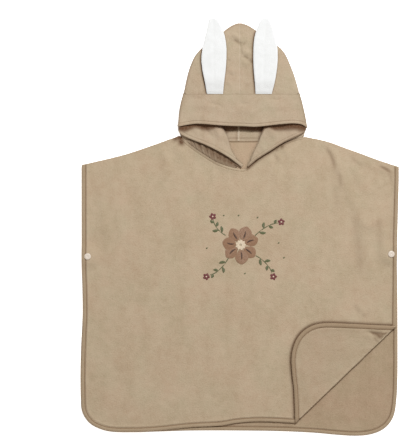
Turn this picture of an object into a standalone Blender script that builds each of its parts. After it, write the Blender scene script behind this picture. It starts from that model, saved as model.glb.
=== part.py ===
"""Hooded bath poncho, laid flat on its back with the hood spread above it.

Every cloth piece is cut flat as an outline, filled with triangles, bent to its height
and given its wall. +X runs to the right of the laid piece, +Y towards the hood, +Z up,
and Z = 0 is the surface it lies on. Lengths below are in millimetres.
"""

import math

import bmesh
import bpy
import numpy as np
from mathutils import Vector
from mathutils.geometry import delaunay_2d_cdt

MM = 0.001

# Cloth and seams
WALL = 3.0
PRESSED = 1.2
TAPE = 1.0
GAP = 0.3
SEAM = GAP / 2
SHOULDER_GAP = 0.6
LAYER = WALL + GAP
BOUND = PRESSED + 2 * GAP + 2 * TAPE
EDGE_IN = TAPE + GAP
TAPE_REACH = 6.4
EDGE_RISE = (BOUND - WALL) / 2
PRESS_FROM = TAPE_REACH + 0.6
PRESS_TO = PRESS_FROM + 3.0
STEP_TO = PRESS_FROM + 7.0
FOLD_R = LAYER / 2

# Heights of the middle of each layer
Z_BACK = WALL / 2
Z_FRONT = Z_BACK + LAYER
Z_LAPEL = Z_FRONT + LAYER
Z_BAND = Z_LAPEL + LAYER

# Outer edge of the back panel, from the left shoulder corner down and round: x, y
BACK_EDGE = (
    (-299.6, 118.0), (-299.6, 60.0), (-299.5, -25.0), (-299.4, -80.0), (-298.2, -120.0),
    (-297.8, -165.0),
    (-300.6, -225.0), (-301.8, -270.0), (-301.4, -320.0), (-298.9, -350.0),
    (-286.0, -371.0), (-267.0, -382.5), (-243.2, -388.6), (-197.0, -389.6),
    (-158.7, -388.4), (-94.0, -386.4), (-8.5, -386.3), (75.0, -387.4), (139.7, -390.4),
    (187.2, -394.6), (218.7, -396.3), (244.2, -394.4), (266.0, -387.6), (281.8, -376.0),
    (292.8, -358.0), (297.6, -331.0), (299.8, -290.0), (300.2, -220.0), (299.8, -120.0),
    (298.9, -49.0), (301.2, 51.0), (302.1, 89.0), (302.1, 114.4),
)
# Outer edge of the front panel as cut, before its right corner is folded: x, y
FRONT_EDGE = (
    (-299.3, 118.0), (-299.3, 60.0), (-299.2, -25.0), (-299.1, -80.0), (-297.6, -120.0),
    (-297.0, -165.0),
    (-299.6, -225.0), (-300.8, -270.0), (-300.4, -320.0), (-297.9, -349.5),
    (-285.2, -370.2), (-266.6, -381.5), (-243.2, -387.4), (-197.0, -388.2),
    (-158.7, -386.4), (-94.0, -379.9), (-35.0, -376.6), (-8.5, -372.2), (24.7, -369.3),
    (55.0, -369.2), (90.0, -371.0), (125.0, -373.2), (169.6, -376.9), (200.0, -381.5),
    (226.0, -383.9), (246.0, -381.9), (266.0, -374.6), (282.0, -361.5), (292.5, -344.0),
    (297.0, -322.0), (297.6, -273.8), (297.0, -226.0), (297.6, -150.0), (298.2, -100.0),
    (298.4, -49.0), (300.8, 51.0), (301.8, 89.0), (301.8, 114.4),
)
# Shoulders, from the side in to the neck: x, y
SHOULDER_LEFT = ((-298.4, 118.0), (-255.0, 127.4), (-210.0, 139.1), (-160.0, 156.0), (-114.6, 172.9))
SHOULDER_RIGHT = (
    (300.8, 114.4), (265.6, 125.4), (228.2, 139.2), (197.8, 150.1), (167.2, 161.2), (124.4, 171.0),
)
# Back neck seam and front neck seam, from left to right: x, y
BACK_NECK = (
    (-114.6, 172.9), (-85.0, 168.0), (-45.0, 164.4), (0.0, 163.4), (45.0, 164.0), (90.0, 167.2),
    (124.4, 171.0),
)
FRONT_NECK = (
    (-114.6, 172.9), (-104.0, 164.4), (-84.6, 147.8), (-65.6, 133.0), (-46.6, 120.9),
    (-27.6, 113.2), (-8.6, 110.2), (8.0, 109.8), (20.0, 117.4), (33.0, 130.2), (59.0, 146.2),
    (85.5, 160.6), (108.0, 168.2), (124.4, 171.0),
)
# Sides of the hood, from the neck up to the peak: x, y
HOOD_SIDE_LEFT = (
    (-113.0, 175.4), (-115.3, 190.4), (-114.2, 204.6), (-112.6, 221.2), (-109.0, 239.8),
    (-105.1, 258.0), (-98.4, 289.0), (-91.2, 311.0), (-83.2, 326.4), (-69.2, 341.4),
    (-29.0, 372.4), (-15.4, 381.8), (-5.5, 386.1), (0.0, 386.9),
)
HOOD_SIDE_RIGHT = (
    (122.6, 173.6), (125.4, 188.3), (123.9, 204.6), (117.6, 235.6), (111.4, 260.0),
    (103.6, 287.1), (95.8, 307.7), (88.0, 325.0), (80.2, 336.6), (72.0, 343.4),
    (31.9, 372.6), (15.4, 382.6), (5.5, 386.2), (0.0, 386.9),
)
PEAK_Y = 386.9
PEAK_GAP = 1.6
# Ends of the brim band, from the rim up: x, y
BAND_SIDE_LEFT = ((-117.7, 189.6), (-115.9, 204.6), (-114.4, 221.2), (-110.6, 239.8), (-107.4, 250.6))
BAND_SIDE_RIGHT = ((128.2, 187.4), (125.6, 204.6), (118.7, 235.6), (114.4, 250.6))
BAND_SEAM_Y = 250.8
CROWN_SIDE_Y = 252.8
# Rim of the brim band, and each side of it below the corners down to the neck: x, y
RIM_TOP = (
    (-116.2, 189.6), (-111.5, 191.6), (-102.0, 194.6), (-83.6, 197.4), (-46.6, 195.5),
    (-5.3, 191.5), (25.7, 190.6), (56.6, 193.2), (97.9, 196.5), (114.2, 194.6),
    (122.0, 190.6), (126.7, 187.4),
)
RIM_LEFT = (
    (-116.2, 189.6), (-114.8, 182.0), (-111.0, 176.4), (-103.6, 171.2), (-88.4, 164.4),
    (-65.6, 155.6), (-42.8, 144.6), (-20.0, 131.2), (-4.0, 119.4), (3.4, 113.4),
)
RIM_RIGHT = (
    (126.7, 187.4), (124.4, 181.4), (116.9, 174.4), (86.5, 159.4), (59.9, 143.6),
    (33.3, 128.0), (21.0, 117.6), (15.0, 112.6),
)
ROLL_LEFT = (
    (5.4, 117.6), (-1.6, 123.2), (-8.8, 131.4), (-17.6, 146.4), (-21.9, 162.0), (-27.4, 176.8),
    (-32.6, 188.4), (-39.6, 205.0),
)
ROLL_RIGHT = (
    (16.0, 116.6), (20.6, 124.4), (26.4, 139.0), (31.8, 150.0), (37.4, 161.8), (45.8, 188.2),
    (50.6, 206.0),
)
TURN_UNDER = 10.0
INNER_TOP_Y = 236.0

# Height of the hood's upper layer: y, height at the sides, extra at the middle
HOOD_HEIGHT = (
    (186.0, Z_BAND, 7.4), (200.0, Z_BAND, 6.6), (225.0, Z_BAND, 4.6), (251.0, Z_BAND, 3.2),
    (290.0, 9.9, 2.4), (330.0, 7.9, 1.8), (365.0, 5.6, 0.8), (387.0, Z_FRONT, 0.0),
)

# Folded front corner: line of the fold, its bend and how it settles
FOLD_AT = (110.0, -367.3)
FOLD_ALONG = (0.721, 0.693)
CORNER_R = 2.6
CORNER_SETTLE = 16.0

# Soft ridges in the front panel: x0, y0, x1, y1, x2, y2, height, half width
RIDGES = (
    (171.0, 145.0, 187.0, 96.0, 226.0, 22.0, 3.2, 9.0),
    (258.0, 121.0, 287.0, 102.0, 288.0, 66.0, 3.6, 8.0),
    (232.0, 26.0, 246.0, 2.0, 272.0, 34.0, 2.2, 9.0),
    (-150.0, 152.0, -136.0, 120.0, -150.0, 78.0, 2.4, 9.0),
    (-60.0, 104.0, -72.0, 78.0, -66.0, 46.0, 1.8, 10.0),
    (60.0, 118.0, 74.0, 88.0, 70.0, 50.0, 1.8, 10.0),
)
# Small gathers along the left of the front neck seam
GATHER_FROM_X = -90.0
GATHER_TO_X = -16.0
GATHER_PITCH = 11.0
GATHER_RISE = 1.4
GATHER_REACH = 11.0

# Half widths of each ear: share of the length, left, right
EAR_LEFT = (
    (0.0, 15.1, 15.1), (0.15, 18.6, 18.0), (0.30, 22.2, 21.4), (0.45, 23.8, 23.6),
    (0.58, 21.4, 24.4), (0.70, 17.4, 23.2), (0.80, 13.4, 20.4), (0.90, 8.9, 15.4),
    (0.96, 6.0, 9.6), (1.0, 1.5, 1.5),
)
EAR_RIGHT = (
    (0.0, 15.2, 15.2), (0.15, 17.4, 20.2), (0.30, 19.8, 23.6), (0.45, 21.2, 25.0),
    (0.58, 21.4, 24.4), (0.70, 20.4, 21.4), (0.80, 17.8, 17.2), (0.90, 12.2, 12.4),
    (0.96, 6.8, 8.4), (1.0, 1.5, 1.5),
)
# Ears: name, base x, base y, tip x, tip y, half widths
EARS = (
    ("ear_left", -46.8, 251.4, -51.2, 396.2, EAR_LEFT),
    ("ear_right", 45.0, 251.4, 48.4, 396.2, EAR_RIGHT),
)
EAR_WALL = 4.4
EAR_BASE_WALL = 1.6
EAR_SOFT_EDGE = 6.5
EAR_TIP_DROP = 2.4

# Press snaps: name end, x, y
SNAPS = (("left", -287.6, -55.7), ("right", 286.8, -51.1))
SNAP_R = 6.2
CAP_HIGH = 1.4
POST_R = 1.7
HOLE_R = POST_R + GAP
SNAP_BACK = 3.6
SNAP_FRONT = 9.0
SNAP_FLAT_R = 8.0
SNAP_EASE_R = 30.0
SOCKET_R = 3.6
STUD_BASE = 0.5
STUD_R = 1.9

TERRY = (0.50, 0.39, 0.27, 1.0)
TERRY_TAPE = (0.44, 0.33, 0.22, 1.0)
WHITE_CLOTH = (0.90, 0.90, 0.88, 1.0)
PALE_PLASTIC = (0.72, 0.62, 0.53, 1.0)


def clear_scene():
    """Takes away everything that the session started with."""
    for thing in list(bpy.data.objects):
        bpy.data.objects.remove(thing, do_unlink=True)
    for group in list(bpy.data.collections):
        bpy.data.collections.remove(group)


def curve_through(table, step=4.0):
    """A smooth line through the rows of a table, with a point about every step."""
    knots = np.array(table, float)
    ends = np.vstack([2 * knots[0] - knots[1], knots, 2 * knots[-1] - knots[-2]])
    pieces = []
    for i in range(1, len(ends) - 2):
        a, b, c, d = ends[i - 1], ends[i], ends[i + 1], ends[i + 2]
        count = max(2, int(np.linalg.norm(c - b) / step) + 1)
        t = np.linspace(0, 1, count, endpoint=False)[:, None]
        pull_b = (c - a) * np.linalg.norm(c - b) / (np.linalg.norm(c - b) + np.linalg.norm(b - a))
        pull_c = (d - b) * np.linalg.norm(c - b) / (np.linalg.norm(c - b) + np.linalg.norm(d - c))
        rise = 3 * t**2 - 2 * t**3
        pieces.append(
            b * (1 - rise) + c * rise + pull_b * (t**3 - 2 * t**2 + t) + pull_c * (t**3 - t**2)
        )
    return np.vstack(pieces + [knots[-1:]])


def thinned(line, slack=0.12, longest=42.0):
    """The line with the points left out that a straight run within slack can do without."""
    kept = [0]
    start = 0
    for end in range(2, len(line)):
        run = line[start : end + 1]
        far = distance_to(run[1:-1], run[[0, -1]]).max()
        if far > slack or np.linalg.norm(line[end] - line[start]) > longest:
            start = end - 1
            kept.append(start)
    return line[kept + [len(line) - 1]]


def smooth_line(table, slack=0.12, longest=42.0):
    return thinned(curve_through(table), slack, longest)


def distance_to(points, line):
    """How far each point is from a line of straight runs."""
    points = np.asarray(points, float)
    a = line[:-1][None]
    run = (line[1:] - line[:-1])[None]
    along = ((points[:, None] - a) * run).sum(2) / np.maximum((run**2).sum(2), 1e-12)
    nearest = a + np.clip(along, 0, 1)[:, :, None] * run
    return np.linalg.norm(points[:, None] - nearest, axis=2).min(1)


def sideways(line):
    """At each point, the direction to the left of the line's run, longer at a bend."""
    runs = np.diff(line, axis=0)
    runs /= np.linalg.norm(runs, axis=1)[:, None]
    before = np.vstack([runs[:1], runs])
    after = np.vstack([runs, runs[-1:]])
    middle = before + after
    middle /= np.linalg.norm(middle, axis=1)[:, None]
    stretch = 1 / np.maximum((middle * after).sum(1), 0.5)
    return np.column_stack([-middle[:, 1], middle[:, 0]]) * stretch[:, None]


def moved(line, far):
    """The line moved to its left by a distance, or by one distance for each point."""
    return line + sideways(line) * np.broadcast_to(far, len(line))[:, None]


def inside(points, loop):
    """Whether each point lies within the closed loop, by counting crossings."""
    x, y = np.asarray(points, float).T[:, :, None]
    ax, ay = loop.T[:, None]
    bx, by = np.roll(loop, -1, axis=0).T[:, None]
    level = (ay > y) != (by > y)
    cross = ax + (y - ay) * (bx - ax) / np.where(by == ay, 1e-12, by - ay)
    return ((level & (x < cross)).sum(1) % 2).astype(bool)


def smoothstep(value):
    value = np.clip(value, 0, 1)
    return value * value * (3 - 2 * value)


def circle(x, y, radius, count=16):
    turn = np.arange(count) * 2 * math.pi / count
    return np.column_stack([x + radius * np.cos(turn), y + radius * np.sin(turn)])


def flat_cloth(loop, lines=(), holes=(), step=30.0):
    """Flat triangles that fill the loop, keep to each line and leave each hole open."""
    points = [loop]
    edges = [(i, (i + 1) % len(loop)) for i in range(len(loop))]
    first = len(loop)
    for line in lines:
        points.append(line)
        edges += [(first + i, first + i + 1) for i in range(len(line) - 1)]
        first += len(line)
    for hole in holes:
        points.append(hole)
        edges += [(first + i, first + (i + 1) % len(hole)) for i in range(len(hole))]
        first += len(hole)
    low, high = loop.min(0), loop.max(0)
    rows = int((high[1] - low[1]) / (step * 0.87)) + 2
    cols = int((high[0] - low[0]) / step) + 3
    row, col = np.meshgrid(np.arange(rows), np.arange(cols), indexing="ij")
    grid = np.column_stack(
        [(low[0] + (col + 0.5 * (row % 2) - 0.5) * step).ravel(), (low[1] + row * step * 0.87).ravel()]
    )
    grid = grid[inside(grid, loop)]
    for line in [np.vstack([loop, loop[:1]])] + list(lines) + list(holes):
        grid = grid[distance_to(grid, line) > 0.42 * step]
    points = np.vstack(points + [grid])
    found = delaunay_2d_cdt([Vector(p) for p in points], edges, [], 1, 1e-5)
    spots = np.array([tuple(v) for v in found[0]])
    faces = np.array([tuple(f) for f in found[2]])
    middles = spots[faces].mean(1)
    keep = np.ones(len(faces), bool)
    for hole in holes:
        keep &= ~inside(middles, hole)
    faces = faces[keep]
    used = np.unique(faces)
    place = np.full(len(spots), -1)
    place[used] = np.arange(len(used))
    return spots[used], place[faces]


def joined(layers):
    """One surface from layers of (points, triangles, turned over), joined where points meet."""
    bm = bmesh.new()
    for points, faces, turned in layers:
        made = [bm.verts.new(Vector(p)) for p in points]
        for face in faces:
            corners = [made[i] for i in face]
            bm.faces.new(corners[::-1] if turned else corners)
    bmesh.ops.remove_doubles(bm, verts=bm.verts, dist=0.02)
    return bm


def named_object(name, bm, colour, roughness):
    """The object of a mesh in millimetres, with its own material, in the poncho's collection."""
    mesh = bpy.data.meshes.new(name)
    bmesh.ops.scale(bm, vec=(MM, MM, MM), verts=bm.verts)
    bm.to_mesh(mesh)
    bm.free()
    thing = bpy.data.objects.new(name, mesh)
    material = bpy.data.materials.new(name)
    material.use_nodes = True
    shader = material.node_tree.nodes["Principled BSDF"]
    shader.inputs["Base Color"].default_value = colour
    shader.inputs["Roughness"].default_value = roughness
    mesh.materials.append(material)
    poncho.objects.link(thing)
    return thing


def cloth_object(name, bm, colour, wall=WALL, shares=None):
    """A cloth surface given its wall, half to each side. shares holds each vertex's part of it."""
    thing = named_object(name, bm, colour, 0.95)
    body = thing.modifiers.new("wall", "SOLIDIFY")
    body.thickness = wall * MM
    body.offset = 0.0
    body.use_rim = True
    if shares is not None:
        group = thing.vertex_groups.new(name="wall")
        for index, share in enumerate(shares):
            group.add([index], float(share), "REPLACE")
        body.vertex_group = "wall"
        body.thickness_vertex_group = 0.0
    return thing


# Where the cloth lies -------------------------------------------------------------------


def bound_edge(table):
    """The cut edge inside the binding, with more points where a snap lifts it."""
    line = moved(smooth_line(table, 0.18, 48.0), EDGE_IN)
    fine = [line[0]]
    for a, b in zip(line[:-1], line[1:]):
        count = int(np.ceil(np.linalg.norm(b - a) / SNAP_EASE_R * 5))
        share = np.linspace(0, 1, count + 1)[1:, None]
        between = a + share * (b - a)
        far = min(np.hypot(*(between - (x, y)).T).min() for _, x, y in SNAPS)
        fine.extend(between if far < SNAP_EASE_R + 4.0 else [b])
    return np.array(fine)


back_edge = bound_edge(BACK_EDGE)
front_edge = bound_edge(FRONT_EDGE)


def near_snap(points):
    """1 at a snap, easing to 0 away from it."""
    share = np.zeros(len(points))
    for _, x, y in SNAPS:
        far = np.hypot(points[:, 0] - x, points[:, 1] - y)
        share = np.maximum(share, 1 - smoothstep((far - SNAP_FLAT_R) / (SNAP_EASE_R - SNAP_FLAT_R)))
    return share


def step_up(far):
    """1 on a bound edge, easing to 0 inside it."""
    return 1 - np.clip((far - PRESS_FROM) / (STEP_TO - PRESS_FROM), 0, 1)


def back_middle(points):
    """Height of the middle of the back panel."""
    edge = 1 - np.clip((distance_to(points, back_edge) - PRESS_FROM) / (PRESS_TO - PRESS_FROM), 0, 1)
    lying = Z_BACK + EDGE_RISE * edge
    snap = near_snap(points)
    return lying * (1 - snap) + SNAP_BACK * snap


def ridge_rise(points):
    """Height that the soft ridges add to the front panel."""
    rise = np.zeros(len(points))
    for x0, y0, x1, y1, x2, y2, height, half in RIDGES:
        line = curve_through(((x0, y0), (x1, y1), (x2, y2)), 8.0)
        across = distance_to(points, line) / half
        ends = np.minimum(
            np.hypot(points[:, 0] - x0, points[:, 1] - y0), np.hypot(points[:, 0] - x2, points[:, 1] - y2)
        )
        rise += height * np.exp(-(across**2)) * (0.35 + 0.65 * smoothstep(ends / 30.0))
    return rise


def front_middle(points):
    """Height of the middle of the front panel where it lies on the back one."""
    over_tape = step_up(distance_to(points, back_edge))
    own_tape = step_up(distance_to(points, front_edge))
    lying = Z_FRONT + 2 * EDGE_RISE * over_tape + EDGE_RISE * own_tape
    calm = smoothstep((distance_to(points, front_edge) - STEP_TO) / 10.0)
    calm *= smoothstep((distance_to(points, front_top) - 5.0) / 14.0)
    snap = near_snap(points)
    return (lying + ridge_rise(points) * calm) * (1 - snap) + SNAP_FRONT * snap


def fold_drop(far, radius):
    """How far a layer bends towards a fold line that is so far away."""
    reach = np.clip(far / radius, 0, 1)
    return radius - radius * np.sqrt(np.maximum(1 - (1 - reach) ** 2, 0))


def pressed_wall(far):
    """Wall of a panel that is pressed thin under its binding."""
    share = np.clip((far - PRESS_FROM) / (PRESS_TO - PRESS_FROM), 0, 1)
    return PRESSED + (WALL - PRESSED) * share


def shoulder_ease(points, line):
    """1 along a shoulder, 0 at both of its ends."""
    ends = np.minimum(
        np.hypot(*(points - line[0]).T), np.hypot(*(points - line[-1]).T)
    )
    return smoothstep((ends - 12.0) / 16.0)


clear_scene()
poncho = bpy.data.collections.new("hooded_bath_poncho")
bpy.context.scene.collection.children.link(poncho)

shoulder_left = smooth_line(SHOULDER_LEFT)
shoulder_right = smooth_line(SHOULDER_RIGHT)
back_neck = smooth_line(BACK_NECK)
front_neck = smooth_line(FRONT_NECK)
front_top = np.vstack([shoulder_left, front_neck[1:-1], shoulder_right[::-1]])


def panel_drop(points, side):
    """Bend of a panel towards its shoulder seams: side 1 bends down, -1 bends up."""
    drop = np.zeros(len(points))
    for line in (shoulder_left, shoulder_right):
        far = distance_to(points, line)
        bend = fold_drop(far, FOLD_R) * (1 - SHOULDER_GAP / FOLD_R)
        drop += bend * shoulder_ease(points, line)
    return -side * drop


# Panels -----------------------------------------------------------------------------------

snap_holes = [circle(x, y, HOLE_R, 12) for _, x, y in SNAPS]
snap_rings = []
for _, snap_x, snap_y in SNAPS:
    for ring_r in (SNAP_FLAT_R, 0.63 * SNAP_EASE_R, SNAP_EASE_R):
        ring = circle(snap_x, snap_y, ring_r, 14)
        snap_rings.append(np.vstack([ring, ring[:1]]))
shoulder_bends = []
for shoulder, side in ((shoulder_left, -1), (shoulder_right, 1)):
    for bend in (14, 36, 62, 90):
        shoulder_bends.append(moved(shoulder[1:-1], side * FOLD_R * (1 - math.cos(math.radians(bend)))))


def within(lines, loop):
    """The runs of the lines that lie within the loop."""
    found = []
    for line in lines:
        ok = inside(line, loop)
        starts = np.flatnonzero(ok & ~np.roll(ok, 1) | (ok & (np.arange(len(ok)) == 0)))
        for start in starts:
            stops = np.flatnonzero(~ok[start:])
            stop = start + stops[0] if len(stops) else len(ok)
            if stop - start > 1:
                found.append(line[start:stop])
    return found


def cut_across(bm):
    """Cuts a mesh that is still flat along the lines of the corner's fold."""
    bends = [math.pi * CORNER_R * share / 6 for share in range(7)]
    for far in bends + [bends[-1] + CORNER_SETTLE / 2, bends[-1] + CORNER_SETTLE]:
        spot = fold_point + fold_out * (far - fold_shift)
        bmesh.ops.bisect_plane(
            bm, geom=bm.verts[:] + bm.edges[:] + bm.faces[:], dist=0.05,
            plane_co=(spot[0], spot[1], 0), plane_no=(fold_out[0], fold_out[1], 0),
        )


def front_place(points, off):
    """Places flat points of the front panel, each so far off its middle, with the corner folded."""
    past = (points - fold_point) @ fold_out + fold_shift
    folded = past > 0
    turn = np.clip(past / CORNER_R, 0, math.pi)
    beyond = np.maximum(past - math.pi * CORNER_R, 0)
    axis = points - np.outer(np.where(folded, past, 0), fold_out)
    spread = np.where(folded, (CORNER_R - off) * np.sin(turn) - beyond, 0)
    level = axis - np.outer(np.where(folded, beyond, 0), fold_out)
    lower = front_middle(level) + panel_drop(level, 1) * ~folded
    need = LAYER + EDGE_RISE * step_up(distance_to(points, front_edge))
    need += EDGE_RISE * step_up(distance_to(level, front_edge))
    settle = smoothstep(beyond / CORNER_SETTLE) * (need - 2 * CORNER_R)
    height = np.where(folded, CORNER_R - (CORNER_R - off) * np.cos(turn) + settle, off)
    return np.column_stack([axis + np.outer(spread, fold_out), lower + height])


fold_point = np.array(FOLD_AT)
fold_out = np.array([FOLD_ALONG[1], -FOLD_ALONG[0]]) / math.hypot(*FOLD_ALONG)
fold_shift = CORNER_R + WALL / 2


def back_place(points, off):
    return np.column_stack([points, back_middle(points) + panel_drop(points, -1) + off])


def make_panel(name, edge, neck, place, extra, step, fold):
    """A panel cut flat, with a hole for each snap, laid by place and pressed at its edge."""
    loop = np.vstack(
        [edge, shoulder_right[1:-1], moved(neck, -SEAM)[::-1], shoulder_left[1:-1][::-1]]
    )
    rings = [moved(edge, far) for far in (PRESS_FROM, PRESS_TO)]
    lines = within(rings + shoulder_bends + extra, loop)
    lines += within(snap_rings, moved(edge, PRESS_TO + 1.0))
    points, faces = flat_cloth(loop, lines, snap_holes, step)
    bm = joined([(np.column_stack([points, np.zeros(len(points))]), faces, False)])
    if fold:
        cut_across(bm)
    bmesh.ops.triangulate(bm, faces=bm.faces)
    flat = np.array([tuple(v.co.xy) for v in bm.verts])
    shares = pressed_wall(distance_to(flat, edge)) / WALL
    for vert, spot in zip(bm.verts, place(flat, np.zeros(len(flat)))):
        vert.co = spot
    return cloth_object(name, bm, TERRY, WALL, shares)


def make_binding(name, edge, place, fold):
    """The tape folded over a panel's edge, from one shoulder round the hem to the other."""
    bare = PRESSED / 2 + GAP
    full = bare + TAPE
    profile = (
        (TAPE_REACH, full), (-GAP, full), (-EDGE_IN, bare), (-EDGE_IN, -bare), (-GAP, -full),
        (TAPE_REACH, -full), (TAPE_REACH, -bare), (-GAP, -bare), (-GAP, bare), (TAPE_REACH, bare),
    )
    rings = [np.column_stack([moved(edge, far), np.full(len(edge), off)]) for far, off in profile]
    points = np.stack(rings, axis=1).reshape(-1, 3)
    size = len(profile)
    end = ((0, 1, 8, 9), (1, 2, 8), (2, 3, 7, 8), (3, 4, 7), (4, 5, 6, 7))
    faces = [list(face) for face in end]
    faces += [[len(points) - size + i for i in face[::-1]] for face in end]
    for ring in range(len(edge) - 1):
        for i in range(size):
            j = (i + 1) % size
            faces.append([ring * size + i, ring * size + size + i, ring * size + size + j, ring * size + j])
    bm = bmesh.new()
    made = [bm.verts.new(Vector(p)) for p in points]
    for face in faces:
        bm.faces.new([made[i] for i in face])
    bmesh.ops.triangulate(bm, faces=bm.faces)
    if fold:
        cut_across(bm)
        bmesh.ops.triangulate(bm, faces=bm.faces)
        bmesh.ops.dissolve_degenerate(bm, dist=0.15, edges=bm.edges)
        bmesh.ops.triangulate(bm, faces=bm.faces)
    spots = np.array([tuple(v.co) for v in bm.verts])
    for vert, spot in zip(bm.verts, place(spots[:, :2], spots[:, 2])):
        vert.co = spot
    bmesh.ops.recalc_face_normals(bm, faces=bm.faces)
    return named_object(name, bm, TERRY_TAPE, 0.95)


ridge_lines = []
for x0, y0, x1, y1, x2, y2, _, half in RIDGES:
    ridge = curve_through(((x0, y0), (x1, y1), (x2, y2)), 14.0)
    ridge_lines += [moved(ridge, far) for far in (-1.2 * half, -0.5 * half, 0.5 * half, 1.2 * half)]

make_panel("back_panel", back_edge, back_neck, back_place, [], 60.0, False)
make_panel(
    "front_panel", front_edge, front_neck, front_place, ridge_lines + [moved(front_edge, STEP_TO)], 40.0, True
)
make_binding("binding_back", back_edge, back_place, False)
make_binding("binding_front", front_edge, front_place, True)

# Hood -------------------------------------------------------------------------------------


def with_point_at(line, y):
    """The line with one more point where it reaches this y."""
    where = int(np.searchsorted(line[:, 1], y))
    x = np.interp(y, line[:, 1], line[:, 0])
    return np.insert(line, where, (x, y), axis=0)


def hood_side(table, inwards, centre_x):
    """A side of the hood as the middle of its fold, from the neck to the centre seam."""
    line = moved(smooth_line(table, 0.15, 30.0), inwards * WALL / 2)
    line = line[np.abs(line[:, 0]) > 4.0]
    line = np.vstack([line, (centre_x, PEAK_Y - WALL / 2)])
    for y in (INNER_TOP_Y, INNER_TOP_Y + 10.0, BAND_SEAM_Y, CROWN_SIDE_Y):
        line = with_point_at(line, y)
    return line


hood_left_side = hood_side(HOOD_SIDE_LEFT, -1, -SEAM)
hood_right_side = hood_side(HOOD_SIDE_RIGHT, 1, SEAM)
rim_top = smooth_line(RIM_TOP, 0.15, 24.0)
band_left = moved(smooth_line(BAND_SIDE_LEFT, 0.15, 24.0), -WALL / 2)
band_left[0] = rim_top[0]
band_left[-1, 1] = BAND_SEAM_Y - SEAM
band_right = moved(smooth_line(BAND_SIDE_RIGHT, 0.15, 24.0), WALL / 2)
band_right[0] = rim_top[-1]
band_right[-1, 1] = BAND_SEAM_Y - SEAM
height_y, height_base, height_extra = np.array(HOOD_HEIGHT).T


def hood_height(points, left, right):
    """Height of the middle of the hood's upper layer between its two sides."""
    x, y = points.T
    reach = np.where(x < 0, np.interp(y, left[:, 1], left[:, 0]), np.interp(y, right[:, 1], right[:, 0]))
    share = np.clip(x / np.where(np.abs(reach) < 0.5, np.copysign(0.5, x), reach), 0, 1)
    return np.interp(y, height_y, height_base) + np.interp(y, height_y, height_extra) * (1 - share**2)


def side_radius(y):
    """Bend of the hood's fold at this y: tight at the neck, wide above the brim band."""
    above = (np.interp(y, height_y, height_base) - Z_BACK) / 2
    return np.where(y > INNER_TOP_Y + 10.0, np.interp(y, (INNER_TOP_Y + 10.0, BAND_SEAM_Y), (0, 1)), 0) * (
        above - FOLD_R
    ) + FOLD_R


def gathers(points):
    """Height of the small gathers at the left of the front neck seam."""
    x = points[:, 0]
    far = distance_to(points, front_neck)
    run = smoothstep((x - GATHER_FROM_X) / 12.0) * smoothstep((GATHER_TO_X - x) / 12.0)
    fade = smoothstep((far - 1.5) / 3.0) * smoothstep((GATHER_REACH - far) / 5.0)
    return GATHER_RISE * run * fade * (0.5 - 0.5 * np.cos(2 * math.pi * (x - GATHER_FROM_X) / GATHER_PITCH))


def bend_lines(line, sign, radius):
    """Lines along a fold at 30, 60 and 90 degrees of its bend, each to the left for sign 1."""
    return [moved(line, sign * radius * (1 - math.cos(math.radians(a)))) for a in (30, 60, 90)]


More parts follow.
